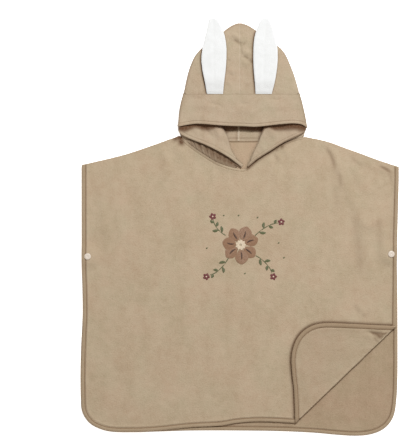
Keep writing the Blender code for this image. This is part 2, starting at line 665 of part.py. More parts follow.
def make_hood(name, side, sign, roll, colour):
    """One half of the hood: its back, the fold at its side, its top and its part below the band."""
    centre_x = side[-1, 0]
    side = side.copy()
    side[-1, 0] = -sign * PEAK_GAP
    y = side[:, 1]
    low = side[y <= INNER_TOP_Y + 0.01]
    high = side[y >= CROWN_SIDE_Y - 0.01]
    neck = moved(back_neck, SEAM)
    neck = neck[(neck[:, 0] * -sign > 2.0) & (np.abs(neck[:, 0]) < abs(side[0, 0]) - 2.0)]
    neck = neck if sign > 0 else neck[::-1]
    seam_y = np.interp(centre_x, *moved(back_neck, SEAM).T)
    seam = np.column_stack([np.full(9, centre_x), np.linspace(side[-1, 1], seam_y, 10)[1:]])
    seam[0, 0] = -sign * 0.4 * PEAK_GAP
    back_loop = np.vstack([side, seam, neck[::-1]])
    crown_x = np.linspace(centre_x, high[0, 0], 9)
    lift = np.abs(np.linspace(0, 1, 9)) ** 6
    crown_low = np.column_stack([crown_x, BAND_SEAM_Y + SEAM + lift * (high[0, 1] - BAND_SEAM_Y - SEAM)])
    crown_low[-1] = high[0]
    crown_seam = seam[seam[:, 1] > high[0, 1] + 4.0]
    crown_loop = np.vstack([high, crown_seam, crown_low[:-1]])

    inner = moved(roll, sign * (TURN_UNDER + GAP))
    front_seam = moved(front_neck, SEAM)
    inner = inner[inner[:, 1] > np.interp(inner[:, 0], *front_seam.T) + 1.0]
    front_seam = front_seam[np.abs(front_seam[:, 0]) < abs(side[0, 0]) - 2.0]
    if sign > 0:
        front_seam = front_seam[front_seam[:, 0] < inner[0, 0] - 1.0]
    else:
        front_seam = front_seam[front_seam[:, 0] > inner[0, 0] + 1.0][::-1]
    shoulder_x = inner[-1, 0] - sign * 16.0
    middle_loop = np.vstack([low, [(shoulder_x, INNER_TOP_Y)], inner[::-1], front_seam[::-1]])

    back_bends = within(bend_lines(side[:-1], -sign, side_radius(side[:-1, 1])), back_loop)
    crown_bends = within(bend_lines(high[:-1], -sign, side_radius(high[:-1, 1])), crown_loop)
    low_bends = within(bend_lines(low, -sign, FOLD_R), middle_loop)
    gather_lines = []
    if sign > 0:
        for x in np.arange(GATHER_FROM_X, GATHER_TO_X, GATHER_PITCH / 4):
            foot = np.interp(x, *moved(front_neck, SEAM).T)
            gather_lines.append(np.array([(x, foot + 1.5), (x + 3.0, foot + 6.0), (x + 7.0, foot + 13.0)]))
        gather_lines = within(gather_lines, middle_loop)

    back_flat, back_faces = flat_cloth(back_loop, back_bends, (), 34.0)
    crown_flat, crown_faces = flat_cloth(crown_loop, crown_bends, (), 26.0)
    middle_flat, middle_faces = flat_cloth(middle_loop, low_bends + gather_lines, (), 30.0)
    back_z = Z_BACK + fold_drop(distance_to(back_flat, side), side_radius(back_flat[:, 1]))
    crown_z = hood_height(crown_flat, hood_left_side, hood_right_side)
    crown_z -= fold_drop(distance_to(crown_flat, high), side_radius(crown_flat[:, 1]))
    middle_z = Z_FRONT - fold_drop(distance_to(middle_flat, low), FOLD_R)
    if sign > 0:
        middle_z = middle_z + gathers(middle_flat)
    bm = joined(
        [
            (np.column_stack([back_flat, back_z]), back_faces, True),
            (np.column_stack([crown_flat, crown_z]), crown_faces, False),
            (np.column_stack([middle_flat, middle_z]), middle_faces, False),
        ]
    )
    bmesh.ops.recalc_face_normals(bm, faces=bm.faces)
    return cloth_object(name, bm, colour)


def make_band(name, colour):
    """The brim band: over the top, round a fold at each end, and down each side of the neck hole."""
    seam = np.linspace(band_left[-1], band_right[-1], 10)[1:-1]
    top_loop = np.vstack([band_left, seam, band_right[::-1], rim_top[1:-1][::-1]])
    top_lines = bend_lines(band_left, -1, FOLD_R) + bend_lines(band_right, 1, FOLD_R)
    flat, faces = flat_cloth(top_loop, within(top_lines, top_loop), (), 18.0)
    z = hood_height(flat, band_left, band_right)
    for side in (band_left, band_right):
        z -= fold_drop(distance_to(flat, side), FOLD_R)
    layers = [(np.column_stack([flat, z]), faces, False)]
    for side, sign, rim, roll in (
        (band_left, 1, RIM_LEFT, roll_left),
        (band_right, -1, RIM_RIGHT, roll_right),
    ):
        rim = smooth_line(rim, 0.15, 24.0)
        loop = np.vstack([side[::-1], rim[1:], roll])
        lines = within(bend_lines(side, -sign, FOLD_R) + bend_lines(roll, sign, FOLD_R), loop)
        flat, faces = flat_cloth(loop, lines, (), 24.0)
        z = Z_LAPEL + fold_drop(distance_to(flat, side), FOLD_R)
        z -= fold_drop(distance_to(flat, roll), FOLD_R)
        layers.append((np.column_stack([flat, z]), faces, True))
        under = moved(roll, sign * TURN_UNDER)
        under = under[under[:, 1] > np.interp(under[:, 0], *moved(front_neck, SEAM).T) + 1.0]
        loop = np.vstack([roll, under[::-1]])
        flat, faces = flat_cloth(loop, within(bend_lines(roll, sign, FOLD_R), loop), (), 24.0)
        z = Z_FRONT + fold_drop(distance_to(flat, roll), FOLD_R)
        layers.append((np.column_stack([flat, z]), faces, False))
    bm = joined(layers)
    bmesh.ops.recalc_face_normals(bm, faces=bm.faces)
    return cloth_object(name, bm, colour)


roll_left = smooth_line(ROLL_LEFT, 0.15, 24.0)
roll_right = smooth_line(ROLL_RIGHT, 0.15, 24.0)
make_hood("hood_left", hood_left_side, 1, roll_left, TERRY)
make_hood("hood_right", hood_right_side, -1, roll_right, TERRY)
make_band("hood_band", TERRY)

# Ears -------------------------------------------------------------------------------------


def make_ear(name, base_x, base_y, tip_x, tip_y, widths):
    """A flat soft ear that stands in the band's seam and lies on the crown."""
    base = np.array([base_x, base_y])
    tip = np.array([tip_x, tip_y])
    share, left, right = curve_through(widths, 0.06).T
    spine = base + np.outer(share, tip - base)
    left_line = thinned(spine - np.column_stack([left, 0 * left]), 0.15, 16.0)
    right_line = thinned(spine + np.column_stack([right, 0 * right]), 0.15, 16.0)
    loop = np.vstack([right_line, left_line[::-1]])
    foot = np.linspace(left_line[0], right_line[0], 5)[1:-1]
    loop = np.vstack([loop, foot])
    rings = [moved(loop, far) for far in (0.9, 2.8, EAR_SOFT_EDGE)]
    points, faces = flat_cloth(loop, within(rings, loop), (), 13.0)
    along = np.clip((points[:, 1] - base_y) / (tip_y - base_y), 0, 1)
    wall = EAR_BASE_WALL + (EAR_WALL - EAR_BASE_WALL) * smoothstep(along / 0.18)
    levels = np.linspace(base_y, PEAK_Y - 14.0, 14)
    tops = []
    for level in levels:
        row = points[np.abs(points[:, 1] - level) < 16.0]
        row = np.column_stack([row[:, 0], np.full(len(row), max(level, BAND_SEAM_Y))])
        tops.append(hood_height(row, hood_left_side, hood_right_side).max())
    levels = np.append(levels, tip_y)
    tops = np.append(tops, tops[-1] - EAR_TIP_DROP)
    z = np.interp(points[:, 1], levels, tops) + WALL / 2 + GAP + wall / 2
    edge = np.vstack([right_line, left_line[::-1]])
    round_off = np.clip(distance_to(points, edge) / EAR_SOFT_EDGE, 0, 1)
    soft = 0.22 + 0.78 * np.sqrt(1 - (1 - round_off) ** 2)
    bm = joined([(np.column_stack([points, z]), faces, False)])
    lookup = {tuple(np.round(p, 3)): w for p, w in zip(points, wall * soft / EAR_WALL)}
    shares = [lookup[tuple(np.round(tuple(v.co.xy), 3))] for v in bm.verts]
    return cloth_object(name, bm, WHITE_CLOTH, EAR_WALL, shares)


for ear in EARS:
    make_ear(*ear)

# Press snaps ------------------------------------------------------------------------------


def turned(name, x, y, profile, closed):
    """A body turned about a snap's axis from a profile of (radius, height), its foot first."""
    mesh = bpy.data.meshes.new(name)
    spots = [(r * MM, 0, z * MM) for r, z in profile[::-1]]
    runs = [(i, i + 1) for i in range(len(spots) - 1)]
    if closed:
        runs.append((len(spots) - 1, 0))
    mesh.from_pydata(spots, runs, [])
    thing = bpy.data.objects.new(name, mesh)
    material = bpy.data.materials.new(name)
    material.use_nodes = True
    shader = material.node_tree.nodes["Principled BSDF"]
    shader.inputs["Base Color"].default_value = PALE_PLASTIC
    shader.inputs["Roughness"].default_value = 0.4
    mesh.materials.append(material)
    spin = thing.modifiers.new("spin", "SCREW")
    spin.steps = 16
    spin.render_steps = 16
    spin.use_merge_vertices = True
    spin.merge_threshold = 0.00001
    thing.location = (x * MM, y * MM, 0)
    poncho.objects.link(thing)


bare_back = SNAP_BACK - WALL / 2
bare_front = SNAP_FRONT - WALL / 2
cap_low = SNAP_FRONT + BOUND / 2 + GAP
stud_low = SNAP_BACK + WALL / 2 + GAP
socket_high = bare_front - GAP
socket_low = stud_low + STUD_BASE + GAP
for end, x, y in SNAPS:
    turned(
        "snap_cap_front_" + end, x, y,
        (
            (0, bare_front), (POST_R, bare_front), (POST_R, cap_low), (SNAP_R - 0.3, cap_low),
            (SNAP_R, cap_low + 0.4), (SNAP_R - 0.3, cap_low + 0.9), (4.4, cap_low + 1.25),
            (2.0, cap_low + CAP_HIGH), (0.9, cap_low + CAP_HIGH), (0, cap_low + 1.1),
        ), False,
    )
    turned(
        "snap_socket_" + end, x, y,
        (
            (STUD_R + GAP, socket_low), (SOCKET_R, socket_low), (SOCKET_R, socket_high),
            (STUD_R + GAP, socket_high),
        ), True,
    )
    turned(
        "snap_stud_" + end, x, y,
        (
            (0, stud_low), (SOCKET_R, stud_low), (SOCKET_R, stud_low + STUD_BASE),
            (STUD_R, stud_low + STUD_BASE), (STUD_R, socket_high - 0.6), (STUD_R - 0.4, socket_high - GAP),
            (0, socket_high - GAP),
        ), False,
    )
    turned(
        "snap_cap_back_" + end, x, y,
        (
            (0, 0), (SNAP_R - 0.6, 0), (SNAP_R, 0.4), (SNAP_R, CAP_HIGH - 0.3),
            (SNAP_R - 0.3, CAP_HIGH), (POST_R, CAP_HIGH), (POST_R, SNAP_BACK + WALL / 2),
            (0, SNAP_BACK + WALL / 2),
        ), False,
    )
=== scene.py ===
# %% [markdown]
# # A hooded bath poncho, laid flat
# A toddler's bath poncho is two square terry panels, sewn at the shoulders, bound with tape
# round the hem, snapped together at the sides, and given a hood with a brim band and two soft
# ears. This lesson dresses the plain solids of such a poncho. Every cloth piece is a grid of
# points worked out with numpy: a flat cut first, then the height at which it lies, then a wall.
# The solids come first, because they say where each piece lies and how far it may reach.

# %% The frame
import math

import bmesh
import bpy
import numpy as np
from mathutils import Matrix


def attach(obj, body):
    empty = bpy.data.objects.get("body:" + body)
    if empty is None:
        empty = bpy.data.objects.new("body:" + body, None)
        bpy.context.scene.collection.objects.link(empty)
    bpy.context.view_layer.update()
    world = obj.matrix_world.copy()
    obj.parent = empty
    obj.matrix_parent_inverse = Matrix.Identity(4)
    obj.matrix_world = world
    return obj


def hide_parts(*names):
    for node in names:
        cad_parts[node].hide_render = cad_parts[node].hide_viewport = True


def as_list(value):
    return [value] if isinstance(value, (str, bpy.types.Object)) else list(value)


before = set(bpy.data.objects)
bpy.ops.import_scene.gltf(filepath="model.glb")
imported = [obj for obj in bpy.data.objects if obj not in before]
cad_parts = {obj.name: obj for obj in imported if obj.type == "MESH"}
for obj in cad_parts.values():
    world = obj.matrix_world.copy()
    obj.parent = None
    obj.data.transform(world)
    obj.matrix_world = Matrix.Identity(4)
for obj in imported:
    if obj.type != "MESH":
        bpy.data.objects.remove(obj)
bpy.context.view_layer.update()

MM = 0.001
print("nodes in the frame:", len(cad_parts))

# %% [markdown]
# ## Camera
# The poncho is looked at from straight above. A long lens far away keeps its outline free of
# perspective, as an orthographic camera would, and other views can still fit it. The view's
# centre lies to the left of the neck, so that the same empty floor shows on that side.

# %% Camera
MM_PER_PIXEL = 1.9
IMAGE = (400, 437)
NECK_PIXEL = (239.5, 227.0)
LENS = 100.0
SENSOR = 36.0

view_x = (IMAGE[0] / 2 - NECK_PIXEL[0]) * MM_PER_PIXEL
view_y = (NECK_PIXEL[1] - IMAGE[1] / 2) * MM_PER_PIXEL
view_far = IMAGE[1] * MM_PER_PIXEL / SENSOR * LENS
camera = bpy.data.objects.new("camera", bpy.data.cameras.new("camera"))
camera.data.lens = LENS
camera.data.sensor_width = SENSOR
camera.data.clip_end = 20.0
camera.location = (view_x * MM, view_y * MM, view_far * MM)
bpy.context.scene.collection.objects.link(camera)
bpy.context.scene.camera = camera
print(f"camera {view_far:.0f} mm above ({view_x:.1f}, {view_y:.1f})")

# %% [markdown]
# ## Lines and grids
# A cut is drawn with a few points joined by a smooth curve. A grid fills it: the rows and
# columns run between four boundary curves, and the cells are finer where the cloth bends. These
# helpers work on whole arrays, so a panel of forty thousand points takes no Python loop.


# %% Lines
def curve_through(table, step=4.0):
    """A smooth line through the rows of a table: between two rows, the cubic that has both
    ends' places and, as slopes, the run from the row before to the row after."""
    knots = np.array(table, float)
    ends = np.vstack([2 * knots[0] - knots[1], knots, 2 * knots[-1] - knots[-2]])
    parts = []
    for i in range(1, len(ends) - 2):
        a, b, c, d = ends[i - 1 : i + 3]
        long = np.linalg.norm(c - b)
        count = max(2, int(long / step) + 1)
        t = np.linspace(0, 1, count, endpoint=False)[:, None]
        pull_b = (c - a) * long / (long + np.linalg.norm(b - a))
        pull_c = (d - b) * long / (long + np.linalg.norm(d - c))
        rise = 3 * t**2 - 2 * t**3
        cubic = b * (1 - rise) + c * rise + pull_b * (t**3 - 2 * t**2 + t) + pull_c * (t**3 - t**2)
        parts.append(cubic)
    return np.vstack(parts + [knots[-1:]])


def along(line):
    """How far along the line each point is: the running sum of the distances between points."""
    return np.concatenate([[0], np.cumsum(np.linalg.norm(np.diff(line, axis=0), axis=1))])


def at_length(line, far):
    """The points that lie so far along the line."""
    run = along(line)
    return np.stack([np.interp(far, run, line[:, k]) for k in range(line.shape[1])], axis=-1)


def spaced(line, step):
    """The line again with points a step apart, or a little less."""
    total = along(line)[-1]
    return at_length(line, np.linspace(0, total, int(np.ceil(total / step)) + 1))


def sideways(line):
    """The direction to the left of the run, at each point: the mean of the runs before and
    after it, turned a quarter, and longer at a bend so that a moved line stays parallel."""
    runs = np.diff(line, axis=0)
    runs /= np.linalg.norm(runs, axis=1)[:, None]
    before = np.vstack([runs[:1], runs])
    after = np.vstack([runs, runs[-1:]])
    middle = before + after
    middle /= np.linalg.norm(middle, axis=1)[:, None]
    stretch = 1 / np.maximum((middle * after).sum(1), 0.5)
    return np.column_stack([-middle[:, 1], middle[:, 0]]) * stretch[:, None]


def moved(line, far):
    """The line moved to its left by a distance, or by one for each point."""
    return line + sideways(line) * np.broadcast_to(far, len(line))[:, None]


def distance_to(points, line):
    """How far each point is from a line of straight runs: to the nearest spot of each run, of
    which the least counts. The points may be a grid."""
    shape = np.shape(points)[:-1]
    spots = np.asarray(points, float).reshape(-1, 2)
    start = line[:-1]
    run = line[1:] - start
    best = np.full(len(spots), np.inf)
    for a, r in zip(start, run):
        share = np.clip(((spots - a) @ r) / max(r @ r, 1e-12), 0, 1)
        best = np.minimum(best, ((spots - a - share[:, None] * r) ** 2).sum(1))
    return np.sqrt(best).reshape(shape)


def far_from(points, x, y):
    """How far each point is from one spot."""
    return np.hypot(points[..., 0] - x, points[..., 1] - y)


def smoothstep(value):
    """0 below 0, 1 above 1, and 3v^2 - 2v^3 between."""
    value = np.clip(value, 0, 1)
    return value * value * (3 - 2 * value)


def ramp(value, start, reach):
    """0 up to a start, 1 past a reach from there, and a smooth rise between."""
    return smoothstep((value - start) / reach)


def hump(far, half):
    """A soft bell: e to the minus (distance over half width) squared."""
    return np.exp(-((far / half) ** 2))


def beside(points, line, half):
    """1 on a line, fading to both sides over a half width."""
    return hump(distance_to(points, line), half)


def deepest(*depths):
    """The greatest of some depths at each point."""
    return np.maximum.reduce(np.broadcast_arrays(*depths))


def line_shades(points, table):
    """The deepest of some shades beside lines: line, half width, depth."""
    return deepest(*(depth * beside(points, line, half) for line, half, depth in table))


def spot_shades(points, table):
    """The deepest of some round shades: x, y, half width, depth."""
    return deepest(*(depth * hump(far_from(points, x, y), half) for x, y, half, depth in table))


print("helpers for lines are ready")


# %% Grids
LATTICE = 97
LATTICE_SHIFT = 31.7


def ruler(length, start, end, pitch):
    """Shares from 0 to 1 of a length: the start's fine steps, even steps, then the end's."""
    start = np.asarray(start, float)
    end = length - np.asarray(end, float)[::-1]
    count = max(2, int(np.ceil((end[0] - start[-1]) / pitch)) + 1)
    return np.concatenate([start[:-1], np.linspace(start[-1], end[0], count), end[1:]]) / length


def patch(bottom, top, left, right, across, up):
    """A grid between four boundary lines (a Coons patch): the blend of bottom and top, plus the
    blend of left and right, less the blend of the four corners."""
    u = across[None, :, None]
    v = up[:, None, None]
    corners = (1 - v) * ((1 - u) * bottom[0] + u * bottom[-1]) + v * ((1 - u) * top[0] + u * top[-1])
    return (1 - v) * bottom[None] + v * top[None] + (1 - u) * left[:, None] + u * right[:, None] - corners


def at_share_x(line, share):
    """Points of a line that runs to the right, at shares of its width."""
    x = line[0, 0] + share * (line[-1, 0] - line[0, 0])
    return np.column_stack([x, np.interp(x, line[:, 0], line[:, 1])])


def at_share_y(line, share):
    """Points of a line that runs up, at shares of its height."""
    y = line[0, 1] + share * (line[-1, 1] - line[0, 1])
    return np.column_stack([np.interp(y, line[:, 1], line[:, 0]), y])


def with_height(flat, height):
    """Flat points with a height each, as places in space."""
    return np.concatenate([flat, height[..., None]], axis=-1)


def turned_over(grid):
    """The same grid run the other way across, so that its cells face the other way."""
    return tuple(part[:, ::-1] for part in grid)


def grid_faces(rows, cols, first=0):
    """The four corners of each cell of a grid, counter-clockwise from above."""
    index = first + np.arange(rows * cols).reshape(rows, cols)
    cells = [index[:-1, :-1], index[:-1, 1:], index[1:, 1:], index[1:, :-1]]
    return np.stack(cells, axis=-1).reshape(-1, 4)


def soft_noise(points, size, seed):
    """Uneven heights from -1 to 1: random numbers on a lattice of a size, blended smoothly
    between its four nearest points. The lattice starts again after its last point."""
    lattice = np.random.default_rng(seed).uniform(-1, 1, (LATTICE, LATTICE))
    place = np.asarray(points, float) / size + LATTICE_SHIFT
    cell = np.floor(place).astype(int)
    x, y = np.moveaxis(smoothstep(place - cell), -1, 0)
    i, j = np.moveaxis(cell, -1, 0)
    near = [lattice[(i + a) % LATTICE, (j + b) % LATTICE] for a in (0, 1) for b in (0, 1)]
    return (near[0] * (1 - y) + near[1] * y) * (1 - x) + (near[2] * (1 - y) + near[3] * y) * x


print("helpers for grids are ready")

# %% [markdown]
# ## From grids to cloth
# One function turns grids into a finished piece. Grids that share a boundary are merged there.
# Solidify gives the wall, half to each side, and a vertex group thins it at edges and stitch
# lines, so that an edge is round and a seam is a groove. The flat cut goes into a UV map in
# metres, so that a weave follows the cloth round a fold.

# %% Cloth pieces
WALL = 3.0
SHARE_STEPS = 48
made_pieces = {}


def mesh_object(name, points, faces, cut, material):
    """A smooth mesh object from points in millimetres, quads, and each point's flat place."""
    mesh = bpy.data.meshes.new(name)
    mesh.from_pydata((points * MM).tolist(), [], faces.tolist())
    corner = np.empty(len(mesh.loops), np.int32)
    mesh.loops.foreach_get("vertex_index", corner)
    layer = mesh.uv_layers.new(name="cut")
    layer.data.foreach_set("uv", (cut[corner] * MM + 0.5).astype(np.float32).ravel())
    mesh.materials.append(material)
    thing = bpy.data.objects.new(name, mesh)
    bpy.context.scene.collection.objects.link(thing)
    made_pieces[name] = thing
    return thing


def rework(mesh, *steps):
    """Opens a mesh for Blender's mesh tools, does each step on it, and writes it back."""
    bm = bmesh.new()
    bm.from_mesh(mesh)
    for step in steps:
        step(bm)
    bm.to_mesh(mesh)
    bm.free()


def face_outwards(mesh):
    """Turns the faces of a closed mesh so that all of them look out of it."""
    rework(mesh, lambda bm: bmesh.ops.recalc_face_normals(bm, faces=bm.faces))


def merge_points(mesh, near=0.02):
    """Joins points that lie together, and drops cells that have no area left. Open edges are
    marked sharp, so that the face of the cloth isn't shaded as if it rolled over there."""
    rework(
        mesh,
        lambda bm: bmesh.ops.remove_doubles(bm, verts=bm.verts, dist=near * MM),
        lambda bm: bmesh.ops.dissolve_degenerate(bm, edges=bm.edges, dist=near * MM),
    )
    mesh.shade_smooth()
    edge = np.empty(len(mesh.loops), np.int32)
    mesh.loops.foreach_get("edge_index", edge)
    open_edge = np.bincount(edge, minlength=len(mesh.edges)) == 1
    mesh.attributes.new("sharp_edge", "BOOLEAN", "EDGE").data.foreach_set("value", open_edge)


def cloth(name, grids, material, wall=WALL):
    """A cloth piece, with its wall, from grids of (place, flat cut, share of the wall, painted shading).
    Painted shading is 0 on open cloth, 1 for full painted shade in crevices and -1 for a painted
    highlight on ridges; it may be left out."""
    points = np.vstack([g[0].reshape(-1, 3) for g in grids])
    cut = np.vstack([g[1].reshape(-1, 2) for g in grids])
    share = np.concatenate([g[2].ravel() for g in grids])
    painted_shading = np.concatenate([(g[3] if len(g) > 3 else 0 * g[2]).ravel() for g in grids])
    faces = []
    first = 0
    for place, *_ in grids:
        faces.append(grid_faces(*place.shape[:2], first))
        first += place.shape[0] * place.shape[1]
    thing = mesh_object(name, points, np.vstack(faces), cut, material)
    mesh = thing.data
    # The painted shading is kept as an attribute, which the terry turns into painted shade or painted
    # highlight
    for kept, values in (("share", share), ("painted_shading", np.clip(painted_shading, -1, 1))):
        held = mesh.attributes.new(kept, "FLOAT", "POINT")
        held.data.foreach_set("value", values.astype(np.float32))
    merge_points(mesh)
    share = np.empty(len(mesh.vertices), np.float32)
    mesh.attributes["share"].data.foreach_get("value", share)
    mesh.attributes.remove(mesh.attributes["share"])
    group = thing.vertex_groups.new(name="wall")
    level = np.clip(np.round(share * SHARE_STEPS), 1, SHARE_STEPS).astype(int)
    for step in np.unique(level):
        group.add(np.flatnonzero(level == step).tolist(), float(step / SHARE_STEPS), "REPLACE")
    body = thing.modifiers.new("wall", "SOLIDIFY")
    body.thickness = wall * MM
    body.offset = 0.0
    body.use_rim = True
    body.vertex_group = "wall"
    body.thickness_vertex_group = 0.0
    print(f"{name}: {len(mesh.polygons)} cells")
    return thing


def flat_area(grid):
    """Area of a flat grid in square metres: half the cross product of each cell's diagonals."""
    one = grid[1:, 1:] - grid[:-1, :-1]
    two = grid[1:, :-1] - grid[:-1, 1:]
    return float(np.abs(one[..., 0] * two[..., 1] - one[..., 1] * two[..., 0]).sum() / 2) * MM**2


def round_edge(far, reach=1.6, least=0.2):
    """Share of the wall near an edge: a quarter of an ellipse from thin at the edge to full."""
    part = np.clip(far / reach, 0, 1)
    return least + (1 - least) * np.sqrt(1 - (1 - part) ** 2)


print("helpers for cloth are ready")

# %% [markdown]
# ## Shader sums
# A material is a set of nodes, and its maths is easier to read as a sum. This class wraps one
# socket: plus, minus and times add the Math node that does it, also with a plain number first.
# Colours and vectors have nodes of their own, which the node method adds.


# %% Wires
class Wire:
    """One output socket of a material, so that shader maths reads as Python maths."""

    def __init__(self, tree, socket=None):
        self.tree = tree
        self.socket = socket

    def node(self, kind, settings=None, inputs=None, output=0):
        """Adds a node: its settings first, then the values or wires of its sockets."""
        made = self.tree.nodes.new(kind)
        for key, value in (settings or {}).items():
            setattr(made, key, value)
        for key, value in (inputs or {}).items():
            if isinstance(value, Wire):
                self.tree.links.new(value.socket, made.inputs[key])
            else:
                made.inputs[key].default_value = value
        return Wire(self.tree, made.outputs[output])

    def maths(self, operation, first, second):
        return self.node("ShaderNodeMath", {"operation": operation}, {0: first, 1: second})

    def __add__(self, other):
        return self.maths("ADD", self, other)

    def __radd__(self, other):
        return self.maths("ADD", other, self)

    def __sub__(self, other):
        return self.maths("SUBTRACT", self, other)

    def __rsub__(self, other):
        return self.maths("SUBTRACT", other, self)

    def __mul__(self, other):
        return self.maths("MULTIPLY", self, other)

    def __rmul__(self, other):
        return self.maths("MULTIPLY", other, self)

    def wave(self):
        """The sine of the wire."""
        return self.maths("SINE", self, 0.0)

    def between(self, low, high):
        """0 below low, 1 above high, and a smooth rise between."""
        return self.node(
            "ShaderNodeMapRange", {"interpolation_type": "SMOOTHSTEP"}, {0: self, 1: low, 2: high}
        )

    def mixed(self, one, two):
        """The first colour where the wire is 0, the second where it is 1."""
        return self.node("ShaderNodeMix", {"data_type": "RGBA"}, {0: self, 6: one, 7: two}, 2)

    def cut(self):
        """The place on the flat cut, from the piece's own UV map."""
        return self.node("ShaderNodeUVMap", {"uv_map": "cut"}, {}, "UV")

    def place(self):
        """The place in space, from Object coordinates."""
        return self.node("ShaderNodeTexCoord", {}, {}, "Object")

    def part(self, axis):
        """One coordinate of a place."""
        return self.node("ShaderNodeSeparateXYZ", {}, {0: self}, axis)

    def noise(self, scale, detail=2.0, rough=0.5):
        """Noise at so many lumps a metre, with this wire as its place."""
        sockets = {"Vector": self, "Scale": scale, "Detail": detail, "Roughness": rough}
        return self.node("ShaderNodeTexNoise", {"noise_dimensions": "3D"}, sockets)

    def loops(self, scale):
        """Rounded lumps so many a metre: the smooth distance to scattered points, turned over."""
        sockets = {"Vector": self, "Scale": scale, "Smoothness": 0.35}
        settings = {"feature": "SMOOTH_F1"}
        return 1.0 - self.node("ShaderNodeTexVoronoi", settings, sockets, "Distance") * 1.25


def linear(red, green, blue):
    """A screen colour of 0 to 255 as the linear colour that a shader takes."""
    share = np.array([red, green, blue]) / 255
    value = np.where(share <= 0.04045, share / 12.92, ((share + 0.055) / 1.055) ** 2.4)
    return (*value.tolist(), 1.0)


def new_material(name):
    """An empty node material: its first wire, and its Principled shader."""
    material = bpy.data.materials.new(name)
    material.use_nodes = True
    tree = material.node_tree
    return material, Wire(tree), tree.nodes["Principled BSDF"]


def feed(wire, shader, name):
    """Links a wire to one of the shader's sockets."""
    wire.tree.links.new(wire.socket, shader.inputs[name])


def finished(shader, colour, rough, height, relief, **even):
    """Feeds the shader its colour, its roughness and a Bump node of so many metres of relief, and
    sets the sockets that are the same all over."""
    feed(colour, shader, "Base Color")
    feed(rough, shader, "Roughness")
    sockets = {"Height": height, "Distance": relief, "Strength": 1.0}
    feed(height.node("ShaderNodeBump", {}, sockets), shader, "Normal")
    set_even(shader, **even)


def set_even(node, **even):
    """Sets sockets of a node, such as a shader, to values that are the same all over."""
    for name, value in even.items():
        node.inputs[name.replace("_", " ")].default_value = value


print("shader sums are ready")

# %% [markdown]
# ## Terry
# Cotton terry is a carpet of small loops. From a step away it is matt, with a soft sheen at the
# edges of folds, a fine grain, and clouds where the pile leans another way and takes the light a
# little warmer or cooler. Real loops over two panels would be millions of faces, so the loops
# are a bump on the flat cut, and only the slow unevenness is in the mesh.

# %% Terry
LOOPS_A_METRE = 640.0
ROWS_A_METRE = 420.0
GRAINS_A_METRE = 300.0
PATCHES_A_METRE = 70.0
STROKES_A_METRE = 30.0
CLOUDS_A_METRE = 15.0
# Tints of the painted shade in crevices and of the painted highlight on ridges
PAINTED_SHADE_TINT = linear(94, 62, 39)
PAINTED_HIGHLIGHT_TINT = (216, 202, 182)


def terry(name, colour, warm, cool, dark, painted_highlight=PAINTED_HIGHLIGHT_TINT, relief=0.0005):
    """Terry in a colour that leans warm or cool in clouds, darker between its loops and where the
    pile was stroked the other way, with painted shade in deep brown where the piece's painted
    shading is above 0, and a painted highlight where it is below 0."""
    colour, warm, cool, dark, painted_highlight = (linear(*tint) for tint in (colour, warm, cool, dark, painted_highlight))
    material, wire, shader = new_material(name)
    cut = wire.cut()
    cloud = cut.noise(CLOUDS_A_METRE, 3.0, 0.55).between(0.36, 0.64)
    patches = cut.noise(PATCHES_A_METRE, 3.0, 0.6)
    long_way = {"Vector": cut, "Scale": (1.0, 0.45, 1.0)}
    stroked = wire.node("ShaderNodeMapping", {}, long_way, "Vector").noise(STROKES_A_METRE, 3.0, 0.6)
    grain = cut.noise(GRAINS_A_METRE, 2.0, 0.6)
    loop = cut.loops(LOOPS_A_METRE)
    row = cut.part("X") * (2 * math.pi * ROWS_A_METRE)
    row = (row + patches * 9.0).wave() * 0.5 + 0.5
    tone = cloud.mixed(warm, cool)
    tone = patches.between(0.25, 0.75).mixed(colour, tone)
    depth = (1.0 - loop) * 0.3 + (1.0 - grain) * 0.5 + row * 0.1 + patches * 0.3
    depth = depth + (stroked - 0.5) * 0.85 + (patches - 0.5) * 0.35
    tone = depth.between(0.2, 1.4).mixed(tone, dark)
    # Painted shade and painted highlight, from the piece's painted shading attribute
    painted_shading = wire.node("ShaderNodeAttribute", {"attribute_name": "painted_shading"}, {}, "Fac")
    tone = (painted_shading * -1.0).mixed(tone, painted_highlight)
    finished(
        shader, (painted_shading + painted_shading * (grain - 0.5) * 0.6).mixed(tone, PAINTED_SHADE_TINT), 0.9 + grain * 0.1,
        loop * 0.6 + grain * 0.5 + row * 0.15 + patches * 0.9, relief,
        Sheen_Weight=0.12, Sheen_Roughness=0.55, Specular_IOR_Level=0.12,
    )
    return material


terry_front = terry("terry", (194, 175, 149), (197, 174, 149), (190, 176, 149), (171, 149, 121))
# A darker copy of the terry for the back panel: painted shade, as the back lies under the front
terry_back_painted_shade = terry(
    "terry_underside_painted_shade", (181, 159, 133), (184, 158, 133), (177, 160, 132), (157, 134, 107), (226, 192, 164)
)
terry_hood = terry("terry_hood", (190, 172, 148), (193, 171, 148), (186, 173, 147), (168, 147, 121))
print("terry in three shades, with", LOOPS_A_METRE, "loops a metre")

# %% [markdown]
# ## The cut, and where it lies
# The tables below are the pattern: x to the right and y towards the hood, in millimetres. The
# poncho lies in layers, one wall and a small gap apart: the back panel, the front panel on it,
# the sides of the neck, and the brim band on top.

# %% Layers
GAP = 0.3
SEAM = 0.04
SHOULDER_GAP = 0.6
LAYER = WALL + GAP
PRESSED = 1.2
TAPE = 1.0
EDGE_IN = TAPE + GAP
BOUND = PRESSED + 2 * GAP + 2 * TAPE
EDGE_RISE = (BOUND - WALL) / 2
TAPE_REACH = 6.4
PRESS_FROM = TAPE_REACH + 0.6
PRESS_TO = PRESS_FROM + 3.0
STEP_TO = PRESS_FROM + 7.0
FOLD_R = LAYER / 2
Z_BACK = WALL / 2
Z_FRONT = Z_BACK + LAYER
Z_LAPEL = Z_FRONT + LAYER
Z_BAND = Z_LAPEL + LAYER
print("heights of the layers:", Z_BACK, Z_FRONT, Z_LAPEL, Z_BAND)

